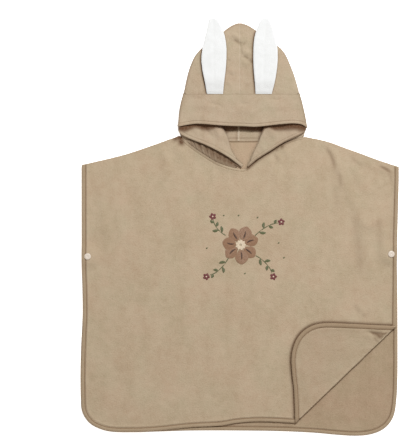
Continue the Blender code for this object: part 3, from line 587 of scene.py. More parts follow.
# %% Pattern of the panels
# Outer edges, from the left shoulder corner down and round: x, y
BACK_EDGE = (
    (-299.6, 118.0), (-299.6, 60.0), (-299.5, -25.0), (-299.4, -80.0), (-298.2, -120.0),
    (-297.8, -165.0), (-300.6, -225.0), (-301.8, -270.0), (-301.4, -320.0), (-298.9, -350.0),
    (-286.0, -371.0), (-267.0, -382.5), (-243.2, -388.6), (-197.0, -389.6),
    (-158.7, -388.4), (-94.0, -386.4), (-8.5, -386.3), (75.0, -387.4), (139.7, -390.4),
    (187.2, -394.6), (218.7, -396.3), (244.2, -394.4), (266.0, -387.6), (281.8, -376.0),
    (292.8, -358.0), (297.6, -331.0), (299.8, -290.0), (300.2, -220.0), (299.8, -120.0),
    (298.9, -49.0), (301.2, 51.0), (302.1, 89.0), (302.1, 114.4),
)
FRONT_EDGE = (
    (-299.3, 118.0), (-299.3, 60.0), (-299.2, -25.0), (-299.1, -80.0), (-297.6, -120.0),
    (-297.0, -165.0), (-299.6, -225.0), (-300.8, -270.0), (-300.4, -320.0), (-297.9, -349.5),
    (-285.2, -370.2), (-266.6, -381.5), (-243.2, -387.4), (-197.0, -388.2),
    (-158.7, -386.4), (-94.0, -379.9), (-35.0, -376.6), (-8.5, -372.2), (24.7, -369.3),
    (55.0, -369.2), (90.0, -371.0), (125.0, -373.2), (169.6, -376.9), (200.0, -381.5),
    (226.0, -383.9), (246.0, -381.9), (266.0, -374.6), (282.0, -361.5), (292.5, -344.0),
    (297.0, -322.0), (297.6, -273.8), (297.0, -226.0), (297.6, -150.0), (298.2, -100.0),
    (298.4, -49.0), (300.8, 51.0), (301.8, 89.0), (301.8, 114.4),
)
SHOULDER_LEFT = ((-298.4, 118.0), (-255.0, 127.4), (-210.0, 139.1), (-160.0, 156.0), (-114.6, 172.9))
SHOULDER_RIGHT = (
    (300.8, 114.4), (265.6, 125.4), (228.2, 139.2), (197.8, 150.1), (167.2, 161.2), (124.4, 171.0),
)
BACK_NECK = (
    (-114.6, 172.9), (-85.0, 168.0), (-45.0, 164.4), (0.0, 163.4), (45.0, 164.0), (90.0, 167.2),
    (124.4, 171.0),
)
FRONT_NECK = (
    (-114.6, 172.9), (-104.0, 164.4), (-84.6, 149.2), (-65.6, 136.4), (-46.6, 124.6),
    (-27.6, 116.4), (-8.6, 111.6), (8.0, 109.8), (20.0, 117.4), (33.0, 130.2), (59.0, 146.2),
    (85.5, 160.6), (108.0, 168.2), (124.4, 171.0),
)
# Rims of the hood's lapels, which lie over the front, from the brim's corner to the tip
RIM_LEFT = (
    (-116.2, 189.6), (-116.0, 182.0), (-112.4, 176.4), (-104.2, 171.2), (-88.4, 164.4),
    (-65.6, 155.6), (-42.8, 144.6), (-20.0, 131.2), (-4.0, 119.4), (3.4, 113.4),
)
RIM_RIGHT = (
    (126.7, 187.4), (124.4, 181.4), (116.4, 175.2), (85.6, 160.9), (59.4, 144.6),
    (33.3, 128.0), (21.0, 117.6), (15.0, 112.6),
)
# Where the lapels roll over, beside the inside of the neck
ROLL_LEFT = (
    (5.4, 117.6), (-1.6, 123.2), (-8.8, 131.4), (-17.6, 146.4), (-21.9, 162.0), (-27.4, 176.8),
    (-32.6, 188.4), (-39.6, 205.0),
)
ROLL_RIGHT = (
    (16.0, 116.6), (20.6, 124.4), (26.4, 139.0), (31.8, 150.0), (37.4, 161.8), (45.8, 188.2),
    (50.6, 206.0),
)
FINE = 3.0
COARSE = 14.0

back_edge = spaced(moved(curve_through(BACK_EDGE, 1.5), EDGE_IN), FINE)
front_edge = spaced(moved(curve_through(FRONT_EDGE, 1.5), EDGE_IN), FINE)
shoulder_left = curve_through(SHOULDER_LEFT, FINE)
shoulder_right = curve_through(SHOULDER_RIGHT, FINE)
back_neck = curve_through(BACK_NECK, FINE)
front_neck = curve_through(FRONT_NECK, FINE)
front_top = np.vstack([shoulder_left, front_neck[1:-1], shoulder_right[::-1]])
near_back_edge, near_front_edge, near_front_neck, near_front_top = (
    spaced(line, COARSE / 2) for line in (back_edge, front_edge, front_neck, front_top)
)
print(f"hem of the front {along(front_edge)[-1]:.0f} mm, of the back {along(back_edge)[-1]:.0f} mm")

# %% [markdown]
# ## Creases
# A freshly laid towel is never dead flat. Long soft ridges run down from the shoulders, and
# shallow troughs lie between them. Each is placed as a bent line with its own height and half
# width, and the lamps do the rest. Only the sharpest ones also get a little painted shade.

# %% Creases
# Main ridges, also in the solids: x0, y0, x1, y1, x2, y2, height, half width
RIDGES = (
    (175.0, 145.0, 195.0, 96.0, 228.0, 22.0, 2.0, 10.0),
    (256.0, 121.0, 284.0, 104.0, 286.0, 66.0, 2.8, 8.0),
    (232.0, 26.0, 246.0, 2.0, 272.0, 34.0, 2.2, 9.0),
    (-150.0, 152.0, -136.0, 120.0, -150.0, 78.0, 2.4, 9.0),
    (-60.0, 104.0, -72.0, 78.0, -66.0, 46.0, 1.8, 10.0),
    (60.0, 118.0, 74.0, 88.0, 70.0, 50.0, 1.8, 10.0),
)
# Slight creases and troughs: x0, y0, x1, y1, x2, y2, height, half width
CREASES = (
    (205.0, 122.0, 236.0, 78.0, 246.0, 60.0, 0.9, 12.0),
    (240.0, 56.0, 258.0, 18.0, 262.0, -40.0, 1.2, 14.0),
    (120.0, 140.0, 128.0, 60.0, 112.0, -20.0, 0.7, 22.0),
    (-240.0, 118.0, -226.0, 60.0, -236.0, -30.0, 0.8, 20.0),
    (-210.0, 60.0, -180.0, -40.0, -196.0, -150.0, 0.6, 26.0),
    (-110.0, 60.0, -96.0, -60.0, -120.0, -180.0, 0.5, 24.0),
    (160.0, -20.0, 150.0, -90.0, 176.0, -160.0, 0.6, 24.0),
    (-60.0, -200.0, -40.0, -260.0, -64.0, -330.0, 0.6, 22.0),
    (-230.0, -230.0, -200.0, -290.0, -214.0, -350.0, 0.6, 22.0),
    (60.0, -180.0, 40.0, -240.0, 56.0, -320.0, 0.5, 24.0),
    (250.0, -70.0, 236.0, -120.0, 262.0, -160.0, 0.8, 14.0),
    (230.0, 36.0, 240.0, -30.0, 249.0, -100.0, 1.5, 9.0),
    (-262.0, 90.0, -258.0, 30.0, -250.0, -30.0, 1.0, 9.0),
    (-196.0, 110.0, -190.0, 60.0, -184.0, 0.0, 0.9, 10.0),
    (-262.0, -40.0, -240.0, -60.0, -214.0, -52.0, 0.7, 12.0),
    (64.0, 144.0, 72.0, 136.0, 79.0, 124.0, 1.3, 3.4),
    (50.0, 132.0, 56.0, 124.0, 59.0, 116.0, 0.9, 3.4),
    (-116.0, 170.0, -112.0, 162.0, -106.0, 156.0, -2.6, 5.0),
    (-124.0, 164.0, -121.0, 152.0, -114.0, 142.0, 1.6, 6.0),
    (80.0, 152.0, 90.0, 140.0, 96.0, 128.0, 1.0, 4.2),
    (-100.0, 150.0, -108.0, 140.0, -106.0, 124.0, 1.1, 5.0),
    (-44.0, 108.0, -50.0, 96.0, -48.0, 82.0, 0.8, 5.0),
    (226.0, -148.0, 234.0, -158.0, 234.0, -172.0, 0.9, 4.2),
    (238.0, -154.0, 243.0, -162.0, 240.0, -174.0, -0.8, 3.2),
)
# Narrow creases, pressed in, which also get painted shade: the same columns
PRESSED_CREASES = (
    (263.0, 118.5, 275.0, 110.0, 291.0, 101.0, -2.2, 2.8),
    (268.0, 114.0, 280.0, 110.0, 286.0, 108.0, -1.2, 2.0),
    (280.0, 104.0, 286.0, 94.0, 288.0, 82.0, -1.0, 3.0),
    (160.0, 155.5, 174.0, 134.0, 182.0, 104.0, -1.6, 3.8),
    (186.0, 108.0, 190.0, 92.0, 192.0, 70.0, -0.8, 4.0),
    (206.0, 138.0, 222.0, 122.0, 240.0, 112.0, -0.6, 4.0),
    (214.0, 30.0, 224.0, -36.0, 230.0, -100.0, -0.6, 7.0),
    (262.0, 30.0, 266.0, -10.0, 268.0, -62.0, -0.5, 6.0),
    (178.0, 92.0, 184.0, 60.0, 186.0, 20.0, -0.4, 7.0),
    (62.0, 142.0, 70.0, 132.0, 75.0, 122.0, -1.0, 2.2),
    (214.0, -146.0, 224.0, -156.0, 226.0, -168.0, -0.8, 3.0),
    (232.0, -162.0, 236.0, -168.0, 246.0, -172.0, -0.8, 2.6),
)
# Creases of the turned corner, where it lies: the same columns
FLAP_CREASES = (
    (244.0, -196.0, 257.0, -203.0, 270.0, -212.0, -3.2, 2.6),
    (260.0, -198.0, 270.0, -202.0, 281.0, -203.0, -2.4, 2.0),
    (252.0, -208.0, 258.0, -212.0, 264.0, -218.0, -2.0, 2.0),
    (238.0, -202.0, 248.0, -210.0, 256.0, -218.0, 1.6, 3.6),
    (254.0, -197.0, 263.0, -203.0, 273.0, -211.0, -2.4, 2.0),
    (272.0, -203.0, 280.0, -200.0, 287.0, -199.0, -1.8, 2.0),
    (150.0, -230.0, 140.0, -262.0, 146.0, -300.0, 0.9, 9.0),
    (205.0, -205.0, 196.0, -232.0, 204.0, -252.0, 0.8, 9.0),
    (128.0, -300.0, 134.0, -326.0, 126.0, -350.0, 0.9, 7.0),
)
SNAPS = (("left", -287.6, -55.7), ("right", 286.8, -51.1))
SNAP_BACK = 3.6
SNAP_FRONT = 9.0
SNAP_FLAT_R = 8.0
SNAP_EASE_R = 30.0
NECK_RISE = 2.2
LEFT_OF_NECK = (-108.0, 6.0)


def lines_rise(points, table, end_share=0.35):
    """Height of a table of creases: a bell across each bent line, lower at its ends."""
    rise = np.zeros(points.shape[:-1])
    for x0, y0, x1, y1, x2, y2, height, half in table:
        line = curve_through(((x0, y0), (x1, y1), (x2, y2)), 8.0)
        ends = np.minimum(far_from(points, x0, y0), far_from(points, x2, y2))
        fade = end_share + (1 - end_share) * smoothstep(ends / min(30.0, 0.35 * along(line)[-1]))
        rise += height * hump(distance_to(points, line), half) * fade
    return rise


def near_snap(points):
    """1 at a snap, easing to 0 away from it."""
    share = np.zeros(points.shape[:-1])
    for _, x, y in SNAPS:
        away = ramp(far_from(points, x, y), SNAP_FLAT_R, SNAP_EASE_R - SNAP_FLAT_R)
        share = np.maximum(share, 1 - away)
    return share


def step_up(far):
    """1 on a bound edge, easing to 0 inside it."""
    return 1 - ramp(far, PRESS_FROM, STEP_TO - PRESS_FROM)


def fold_drop(far, radius):
    """How far a layer bends towards a fold that is so far away: a quarter of a circle."""
    reach = np.clip(far / radius, 0, 1)
    return radius - radius * np.sqrt(np.maximum(1 - (1 - reach) ** 2, 0))


def panel_drop(points, side):
    """Bend of a panel towards its shoulder seams: side 1 bends down, -1 bends up."""
    drop = np.zeros(points.shape[:-1])
    for line in (shoulder_left, shoulder_right):
        ends = np.minimum(far_from(points, *line[0]), far_from(points, *line[-1]))
        bend = fold_drop(distance_to(points, line[::3]), FOLD_R) * (1 - SHOULDER_GAP / FOLD_R)
        drop += bend * ramp(ends, 12.0, 16.0)
    return -side * drop


def back_middle(points):
    """Height of the middle of the back panel."""
    far = distance_to(points, near_back_edge)
    lying = Z_BACK + EDGE_RISE * (1 - ramp(far, PRESS_FROM, PRESS_TO - PRESS_FROM))
    snap = near_snap(points)
    return lying * (1 - snap) + SNAP_BACK * snap


def neck_rise(points, half):
    """Height of the neckline, which stands up where the hood is gathered to it on the left."""
    left = ramp(points[..., 0], LEFT_OF_NECK[0], 24.0) * ramp(LEFT_OF_NECK[1] - points[..., 0], 0, 16.0)
    return NECK_RISE * hump(distance_to(points, near_front_neck), half) * left


def front_middle(points):
    """Height of the middle of the front panel where it lies on the back one."""
    own = distance_to(points, near_front_edge)
    lying = Z_FRONT + 2 * EDGE_RISE * step_up(distance_to(points, near_back_edge))
    lying += EDGE_RISE * step_up(own)
    calm = ramp(own, STEP_TO, 10.0)
    calm *= ramp(distance_to(points, near_front_top), 5.0, 14.0)
    rise = lines_rise(points, RIDGES) + lines_rise(points, CREASES + PRESSED_CREASES, 0.1)
    lying += neck_rise(points, 9.0)
    snap = near_snap(points)
    return (lying + rise * calm) * (1 - snap) + SNAP_FRONT * snap


print(len(RIDGES), "ridges and", len(CREASES), "slighter creases")

# %% [markdown]
# ## The folded corner
# One corner of the front is turned up, so that its inside and its binding show. A fold is a map
# from the flat cut to space: what lies past the fold line goes half round a circle and then back
# over the panel, upside down. The same map takes the panel and its tape, at any distance off the
# panel's middle, so both fold together.

# %% Folded corner
FOLD_AT = np.array([110.0, -367.3])
FOLD_ALONG = np.array([0.721, 0.693])
CORNER_R = 2.1
CORNER_SETTLE = 16.0
EDGE_CURL = 2.2

fold_along = FOLD_ALONG / np.linalg.norm(FOLD_ALONG)
fold_out = np.array([fold_along[1], -fold_along[0]])
fold_shift = CORNER_R + WALL / 2


def past_fold(points):
    """How far each flat point lies past the line where the fold begins."""
    return (points - FOLD_AT) @ fold_out + fold_shift


def front_place(points, off):
    """Places flat points of the front, each so far off its middle, with the corner folded."""
    past = past_fold(points)
    folded = past > 0
    turn = np.clip(past / CORNER_R, 0, math.pi)
    beyond = np.maximum(past - math.pi * CORNER_R, 0)
    axis = points - np.where(folded, past, 0)[..., None] * fold_out
    spread = np.where(folded, (CORNER_R - off) * np.sin(turn) - beyond, 0)
    level = axis - np.where(folded, beyond, 0)[..., None] * fold_out
    lower = front_middle(level) + panel_drop(level, 1) * ~folded
    need = LAYER + EDGE_RISE * step_up(distance_to(points, near_front_edge))
    need += EDGE_RISE * step_up(distance_to(level, near_front_edge))
    settle = smoothstep(beyond / CORNER_SETTLE) * (need - 2 * CORNER_R)
    height = np.where(folded, CORNER_R - (CORNER_R - off) * np.cos(turn) + settle, off)
    flat = axis + spread[..., None] * fold_out
    height += lines_rise(flat, FLAP_CREASES, 0.1) * ramp(beyond, 3.0, 8.0)
    height += EDGE_CURL * ramp(beyond, 30.0, 60.0) * beside(points, near_front_edge, 26.0)
    return with_height(flat, lower + height)


def back_place(points, off):
    """Places flat points of the back panel, each so far off its middle."""
    return with_height(points, back_middle(points) + panel_drop(points, -1) + off)


past = past_fold(front_edge)
crossings = np.flatnonzero((past[:-1] > 0) != (past[1:] > 0))
fold_low, fold_high = (
    front_edge[i] + (front_edge[i + 1] - front_edge[i]) * past[i] / (past[i] - past[i + 1])
    for i in crossings
)
print("the fold runs from", fold_low.round(1), "to", fold_high.round(1))

# %% [markdown]
# ## The front panel
# The panel is two grids that meet on the fold line. The main one lies between the left edge, the
# hem and the fold, the right edge, and the shoulders with the neck. The turned corner is a lens
# between the fold and its bound edge. The wall is pressed thin under the tape, round at the neck
# and thin along the stitch line below it.

# %% Front panel
EDGE_STEPS = (0, 3.5, 5.8, 6.8, 7.2, 7.6, 8.0, 8.4, 9.0, 10.0, 11.6, 13.8, 16.4)
NECK_STEPS = (0, 0.2, 0.5, 0.9, 1.4, 2.0, 2.7, 3.3, 3.8, 4.2, 4.6, 5.0, 5.5, 6.2, 7.4, 9.2, 11.6)
NECK_STITCH = 4.4
NECK_GROOVE = 0.35
PILE_FROM = 8.6
PITCH = 3.1
RELIEF = ((26.0, 0.22, 3), (9.5, 0.16, 4), (5.2, 0.10, 5))


def relief(points, table=RELIEF):
    """Unevenness of the pile: soft noises of (size, height, seed), added up."""
    return sum(height * soft_noise(points, size, seed) for size, height, seed in table)


def pressed_share(far):
    """Share of the wall near a bound edge, pressed under its tape."""
    part = ramp(far, PRESS_FROM, PILE_FROM - PRESS_FROM)
    return (PRESSED + (WALL - PRESSED) * part) / WALL


def split_nearest(line, spot):
    """The index of the line's point that is nearest to a spot."""
    return int(np.argmin(np.hypot(*(line - np.array(spot)).T)))


LOW_LEFT_CORNER = (-302.0, -392.0)
LOW_RIGHT_CORNER = (302.0, -398.0)
PANEL_HIGH = 490.0

turn_at = split_nearest(front_edge, LOW_LEFT_CORNER)
left_line = front_edge[: turn_at + 1][::-1]
hem = np.vstack([front_edge[turn_at : crossings[0] + 1], fold_low])
flap_edge = np.vstack([fold_low, front_edge[crossings[0] + 1 : crossings[1] + 1], fold_high])
right_line = np.vstack([fold_high, front_edge[crossings[1] + 1 :]])
neck_seam = moved(front_neck, -SEAM)
top_line = np.vstack(
    [front_edge[:1], shoulder_left[1:-1], neck_seam, shoulder_right[1:-1][::-1], front_edge[-1:]]
)

wide = fold_high[0] - hem[0, 0]
fold_share = (fold_low[0] - hem[0, 0]) / wide
across = np.concatenate(
    [
        ruler(fold_share * wide, EDGE_STEPS, (0, PITCH), PITCH)[:-1] * fold_share,
        fold_share + ruler((1 - fold_share) * wide, (0, PITCH), EDGE_STEPS, PITCH) * (1 - fold_share),
    ]
)
up = ruler(PANEL_HIGH, EDGE_STEPS, NECK_STEPS, PITCH)
bottom = at_share_x(np.vstack([hem, fold_high]), across)
main_cut = patch(
    bottom, at_share_x(top_line, across), at_share_y(left_line, up), at_share_y(right_line, up), across, up
)

FOLD_STEPS = math.pi * CORNER_R * np.linspace(0, 1, 9)
on_fold = bottom[across >= fold_share - 1e-9]
run = (on_fold - fold_low) @ fold_along
edge_run = (flap_edge - fold_low) @ fold_along
depth = np.interp(run, edge_run, past_fold(flap_edge))
first = FOLD_STEPS[:, None] * np.minimum(1, depth / 30.0)
last = depth - np.array(EDGE_STEPS)[::-1, None] * np.minimum(1, depth / 60.0)
even = np.linspace(0, 1, 26)[1:-1, None]
steps = np.vstack([first, first[-1] + even * (last[0] - first[-1]), last])
flap_cut = on_fold[None] + steps[..., None] * fold_out

rim_right_line = curve_through(RIM_RIGHT, 6.0)
rim_left_line = curve_through(RIM_LEFT, 6.0)
flap_outline = front_place(moved(flap_edge, -1.3), 0.0)[::3, :2]
fold_line = np.array([fold_low, fold_high]) + (fold_shift + 0.5) * fold_out
LIP_AT = 7.2
# Painted shade over the whole turned corner, and in creases for each millimetre they are pressed in
FLAP_PAINTED_SHADE = 0.1
DENT_PAINTED_SHADE = -0.24
# Painted shade beside crevices, by what makes them: depth, half width. A depth below 0 is a painted
# highlight on a ridge
PAINTED_CREVICE_SHADES = {
    "front tape": (0.26, 1.0), "back tape": (0.26, 0.8), "turned corner": (0.92, 3.2),
    "fold": (0.3, 1.1), "beside fold": (0.5, 1.9), "front edge": (0.6, 3.0),
    "neckline": (0.4, 3.8), "back neck": (0.74, 1.4), "left roll": (0.3, 2.4), "right roll": (0.62, 2.4),
    "hood back left": (0.2, 2.4), "hood back right": (0.75, 2.4), "hood strip": (0.4, 1.3),
    "hood groove": (0.4, 1.2), "hood ridge": (-0.55, 1.2), "hood side": (0.4, 1.8),
    "crown ridge": (-0.3, 0.9), "crown seam": (0.3, 0.8), "band side": (0.4, 1.8),
    "stitches": (0.25, 0.7), "left rim": (0.0, 2.6), "right rim": (0.55, 2.6),
}
# Painted shade beside the lapels' rims and the shoulders: line, half width, depth
FRONT_SHADES = (
    (rim_right_line, 4.2, 0.95), (rim_left_line[:7], 3.0, 0.7),
    (shoulder_left[::3], 1.3, 0.35), (shoulder_right[::3], 1.3, 0.35),
)
# Painted shadow at the end of the left shoulder, under the brim's corner, and beside the right lapel: x, y,
# half width, depth
CORNER_SHADES = (
    (-112.0, 170.0, 9.5, 1.0), (-110.5, 161.0, 6.5, 1.0), (-121.0, 169.0, 7.0, 0.9),
    (79.5, 153.5, 5.0, 0.8), (70.0, 147.5, 4.0, 0.6),
)


def painted_crevice_shade(kind, far):
    """Painted shade so far from one of the crevices, or painted highlight where the depth is below 0: a
    bell of its depth and half width.
    """
    deep, half = PAINTED_CREVICE_SHADES[kind]
    return deep * hump(far, half)


def front_painted_shade(cut):
    """Painted shade of the front panel: along the tape, under the flap's outline, beside both lapels
    and the shoulders, below the neckline's left, in painted corner shadows and pressed creases, and in the
    fold."""
    past = past_fold(cut)
    edge_far = distance_to(cut, near_front_edge)
    left = ramp(cut[..., 0], -104.0, 12.0) * ramp(-26.0 - cut[..., 0], 0, 18.0)
    creases = np.clip(DENT_PAINTED_SHADE * lines_rise(cut, PRESSED_CREASES, 0.1), 0, 0.5)
    deep = deepest(
        painted_crevice_shade("front tape", edge_far - LIP_AT),
        painted_crevice_shade("turned corner", distance_to(cut, flap_outline)) * (past < 0),
        line_shades(cut, FRONT_SHADES),
        painted_crevice_shade("neckline", distance_to(cut, near_front_neck)) * left,
        spot_shades(cut, CORNER_SHADES),
        creases * (past <= math.pi * CORNER_R),
        painted_crevice_shade("fold", past - 1.3 * CORNER_R),
    )
    return deep * ramp(edge_far, 6.0, 1.0)


def front_grid(cut):
    """Place, flat cut, wall share and hollow of a grid of the front panel."""
    far = distance_to(cut, near_front_edge)
    neck = distance_to(cut, near_front_neck)
    top = distance_to(cut, near_front_top)
    share = pressed_share(far) * round_edge(top) - NECK_GROOVE * hump(neck - NECK_STITCH, 0.8)
    place = front_place(cut, relief(cut) * ramp(far, PRESS_TO, 6.0))
    # Painted shade over the turned corner and in its creases
    dents = np.clip(DENT_PAINTED_SHADE * lines_rise(place[..., :2], FLAP_CREASES, 0.1), 0, 0.6)
    turned_up = (past_fold(cut) > math.pi * CORNER_R) * (FLAP_PAINTED_SHADE + dents)
    return place, cut, share, np.maximum(front_painted_shade(cut), turned_up)


front_piece = cloth("front_terry", [front_grid(main_cut), front_grid(flap_cut[::-1])], terry_front)
front_area = flat_area(main_cut) + flat_area(flap_cut)
print(f"front panel {front_area:.3f} square metres")

# %% [markdown]
# ## The back panel
# The back panel lies face down under the front. Its hem shows below the front's, its corner
# inside the fold, and a strip of it inside the neck. One grid fills it.

# %% Back panel
BACK_PITCH = 4.2
BACK_WIDE = 600.0
BACK_HIGH = 545.0
BACK_NECK_STEPS = (0, 1.0, 1.8, 2.3, 2.7, 3.1, 3.6, 4.6, 6.4, 9.0)
NECK_STRIP = 1.8
# Painted light: inside the neck the back is painted a little paler, from this y on
NECK_PAINTED_LIGHT = 0.19
NECK_PAINTED_LIGHT_FROM = 84.0

turn_left = split_nearest(back_edge, LOW_LEFT_CORNER)
turn_right = split_nearest(back_edge, LOW_RIGHT_CORNER)
neck_seam = moved(back_neck, -SEAM)
top_line = np.vstack(
    [back_edge[:1], shoulder_left[1:-1], neck_seam, shoulder_right[1:-1][::-1], back_edge[-1:]]
)
across = ruler(BACK_WIDE, EDGE_STEPS, EDGE_STEPS, BACK_PITCH)
up = ruler(BACK_HIGH, EDGE_STEPS, BACK_NECK_STEPS, BACK_PITCH)
back_cut = patch(
    at_share_x(back_edge[turn_left : turn_right + 1], across), at_share_x(top_line, across),
    at_share_y(back_edge[: turn_left + 1][::-1], up), at_share_y(back_edge[turn_right:], up), across, up,
)
far = distance_to(back_cut, near_back_edge)
neck_far = distance_to(back_cut, spaced(back_neck, COARSE / 2))
back_share = round_edge(distance_to(back_cut, spaced(top_line, COARSE / 2)) + 3.0 * (neck_far < 3.0))
back_share *= pressed_share(far) * (1 - 0.5 * hump(neck_far - NECK_STRIP, 0.6))
# Painted shade of the back panel: beside its tape, the fold, the front's edge, the neck seam and both rolls
back_painted_shade = deepest(
    painted_crevice_shade("back tape", far - LIP_AT) * (far > 6.0),
    painted_crevice_shade("beside fold", distance_to(back_cut, fold_line)),
    painted_crevice_shade("front edge", distance_to(back_cut, near_front_edge)) * (past_fold(back_cut) < 0),
    painted_crevice_shade("back neck", neck_far - NECK_STRIP) * (neck_far < 6.0),
    painted_crevice_shade("left roll", distance_to(back_cut, curve_through(ROLL_LEFT, 6.0))),
    painted_crevice_shade("right roll", distance_to(back_cut, curve_through(ROLL_RIGHT, 6.0))),
)
back_painted_shade -= NECK_PAINTED_LIGHT * ramp(back_cut[..., 1], NECK_PAINTED_LIGHT_FROM, 12.0)
back_grid = (back_place(back_cut, 0.0), back_cut, back_share, back_painted_shade)
back_piece = cloth("back_terry", [back_grid], terry_back_painted_shade)
back_area = flat_area(back_cut)
print(f"back panel {back_area:.3f} square metres")

# %% [markdown]
# ## Binding
# The hem is bound with a tape folded over the edge and stitched through near its inner edge. Its
# section is carried along the edge line: a soft roll at the outside, a groove where the stitches
# pull it down, and a small lip. The tape puckers a little, more where it is eased round a corner.

# %% Binding tape
TAPE_IN = PRESSED / 2 + 0.2
TAPE_OUT = PRESSED / 2 + GAP + TAPE
STITCH_IN = 5.4
# Half of the section, from the inner lip to the middle of the outer roll: inwards, off the middle
TAPE_HALF = (
    (6.5, TAPE_IN + 0.15), (6.45, TAPE_IN + 0.45), (6.2, TAPE_OUT - 0.5), (5.8, TAPE_OUT - 0.42),
    (STITCH_IN, TAPE_OUT - 0.55), (5.0, TAPE_OUT - 0.22), (4.2, TAPE_OUT + 0.1), (3.0, TAPE_OUT + 0.28),
    (1.8, TAPE_OUT + 0.3), (0.6, TAPE_OUT + 0.1), (-0.4, TAPE_OUT - 0.35), (-1.05, TAPE_OUT - 1.0),
    (-1.35, 0.0),
)
TAPE_INNER = ((-0.3, -TAPE_IN), (-0.3, TAPE_IN), (6.1, TAPE_IN))


def tape_section():
    """The closed section: the upper half, its mirror image below, and the inner face."""
    half = np.array(TAPE_HALF)
    below = half[-2::-1] * [1, -1]
    inner = np.array([(6.1, -TAPE_IN), *TAPE_INNER])
    return np.vstack([half, below, inner])


def pucker(line):
    """Ripple of the tape along its run: fine waves that swell and fade, higher at bends."""
    run = along(line)
    bend = np.linalg.norm(np.gradient(np.gradient(line, run, axis=0), run, axis=0), axis=1)
    tight = np.convolve(np.clip(bend * 60, 0, 1), np.ones(9) / 9, "same")
    wave = np.sin(run / 1.55 + 2.2 * np.sin(run / 23.0)) * (0.05 + 0.10 * tight)
    return wave + 0.10 * np.sin(run / 9.1 + 1.7 * np.sin(run / 41.0))


def tape(name, edge, place, material):
    """The tape: its section at each point of the edge, placed as the panel is, closed by caps."""
    section = tape_section()
    outer = np.arange(len(section)) < 2 * len(TAPE_HALF) - 1
    rings = []
    ripple = pucker(edge)
    for (far, off), out in zip(section, outer):
        rings.append(place(moved(edge, far), off * (1 + ripple / 2 * out)))
    points = np.stack(rings, axis=1)
    count, size = points.shape[:2]
    faces = grid_faces(count, size)
    last = np.arange(count - 1) * size + size - 1
    first = np.arange(count - 1) * size
    closing = np.stack([last, first, first + size, last + size], axis=-1)
    run = np.broadcast_to(along(edge)[:, None], (count, size))
    around = np.broadcast_to(along(section)[None], (count, size))
    cut = np.stack([around, run], axis=-1).reshape(-1, 2)
    thing = mesh_object(name, points.reshape(-1, 3), np.vstack([faces, closing]), cut, material)
    rework(
        thing.data,
        lambda bm: bmesh.ops.holes_fill(bm, edges=bm.edges, sides=0),
        lambda bm: bmesh.ops.triangulate(bm, faces=[f for f in bm.faces if len(f.verts) > 4]),
    )
    face_outwards(thing.data)
    thing.data.shade_smooth()
    print(f"{name}: {along(edge)[-1]:.0f} mm of tape")
    return thing


RIB = 0.0016
half_run = along(tape_section())[len(TAPE_HALF) - 1]
# Where the tape gets painted shade, as lengths round its section: at both lips, and on its outer half
UPPER_LIP = (1.2, 2.2)
LOWER_LIP = (2 * half_run - 2.2, 2 * half_run - 1.2)
OUTER_HALF = (half_run - 3.4, half_run - 0.8)


def binding_cloth(name, colour, dark, deep):
    """Tape of fine ribs across its run, with painted shade along both stitched lips and a little on its
    outer half.
    """
    material, wire, shader = new_material(name)
    cut = wire.cut()
    run = cut.part("Y")
    section = cut.part("X")
    rib = (run * (2 * math.pi / RIB)).wave() * 0.5 + 0.5
    grain = cut.noise(420.0, 2.0, 0.6)
    slow = cut.noise(30.0, 2.0, 0.5)
    depth = rib * 0.3 + grain * 0.6 + slow * 0.5
    tone = depth.between(0.3, 1.3).mixed(colour, dark)
    upper, lower, outer = (
        section.between(*(0.5 + length * MM for length in lengths))
        for lengths in (UPPER_LIP, LOWER_LIP, OUTER_HALF)
    )
    # Painted shade along both lips and on the outer half of the roll
    tone = ((1.0 - upper) + lower).mixed(tone, deep)
    finished(
        shader, (outer * 0.3).mixed(tone, deep), 0.85 + grain * 0.15, rib * 0.5 + grain * 0.6, 0.0004,
        Sheen_Weight=0.1, Specular_IOR_Level=0.2,
    )
    return material


# Colour, tone between the ribs, and the painted shade
tape_cloth = binding_cloth(
    "terry_binding", linear(180, 160, 134), linear(160, 138, 111), linear(140, 113, 87)
)
back_tape = tape("back_tape", back_edge, back_place, tape_cloth)
front_tape = tape("front_tape", front_edge, front_place, tape_cloth)

# %% [markdown]
# ## Hood
# Each half of the hood is cut in one and folded at the hood's side: the back half lies on the
# floor, and the front half comes over it, up to the centre seam. Rows of one grid start at the
# side's fold and run in to the centre, and the halves share the points of the fold, so they merge
# into one cloth. Below the brim band the front half is the layer inside the neck.

# %% Pattern of the hood
HOOD_SIDE_LEFT = (
    (-113.0, 175.4), (-115.3, 190.4), (-114.2, 204.6), (-112.6, 221.2), (-109.0, 239.8),
    (-105.1, 258.0), (-98.4, 289.0), (-91.2, 311.0), (-83.2, 326.4), (-69.2, 341.4),
    (-29.0, 372.4), (-15.4, 381.8), (-5.5, 386.1), (0.0, 386.9),
)
HOOD_SIDE_RIGHT = (
    (122.6, 173.6), (125.4, 188.3), (123.9, 204.6), (117.6, 235.6), (111.4, 260.0),
    (103.6, 287.1), (95.8, 307.7), (88.0, 325.0), (80.2, 336.6), (72.0, 343.4),
    (31.9, 372.6), (15.4, 382.6), (5.5, 386.2), (0.0, 386.9),
)
PEAK_Y = 386.9
BAND_SIDE_LEFT = ((-117.7, 189.6), (-115.9, 204.6), (-114.4, 221.2), (-110.6, 239.8), (-107.4, 250.6))
BAND_SIDE_RIGHT = ((128.2, 187.4), (125.6, 204.6), (118.7, 235.6), (114.4, 250.6))
BAND_SEAM_Y = 250.8
CROWN_SIDE_Y = 252.8
RIM_TOP = (
    (-116.2, 189.6), (-111.5, 190.3), (-102.0, 192.4), (-83.6, 194.9), (-65.0, 194.2),
    (-46.6, 192.6), (-25.0, 191.0), (-5.3, 190.2), (8.0, 190.0), (25.7, 189.0), (42.0, 190.0),
    (56.6, 191.7), (77.0, 194.0), (97.9, 195.6), (114.2, 194.6), (122.0, 191.2), (126.7, 187.4),
)
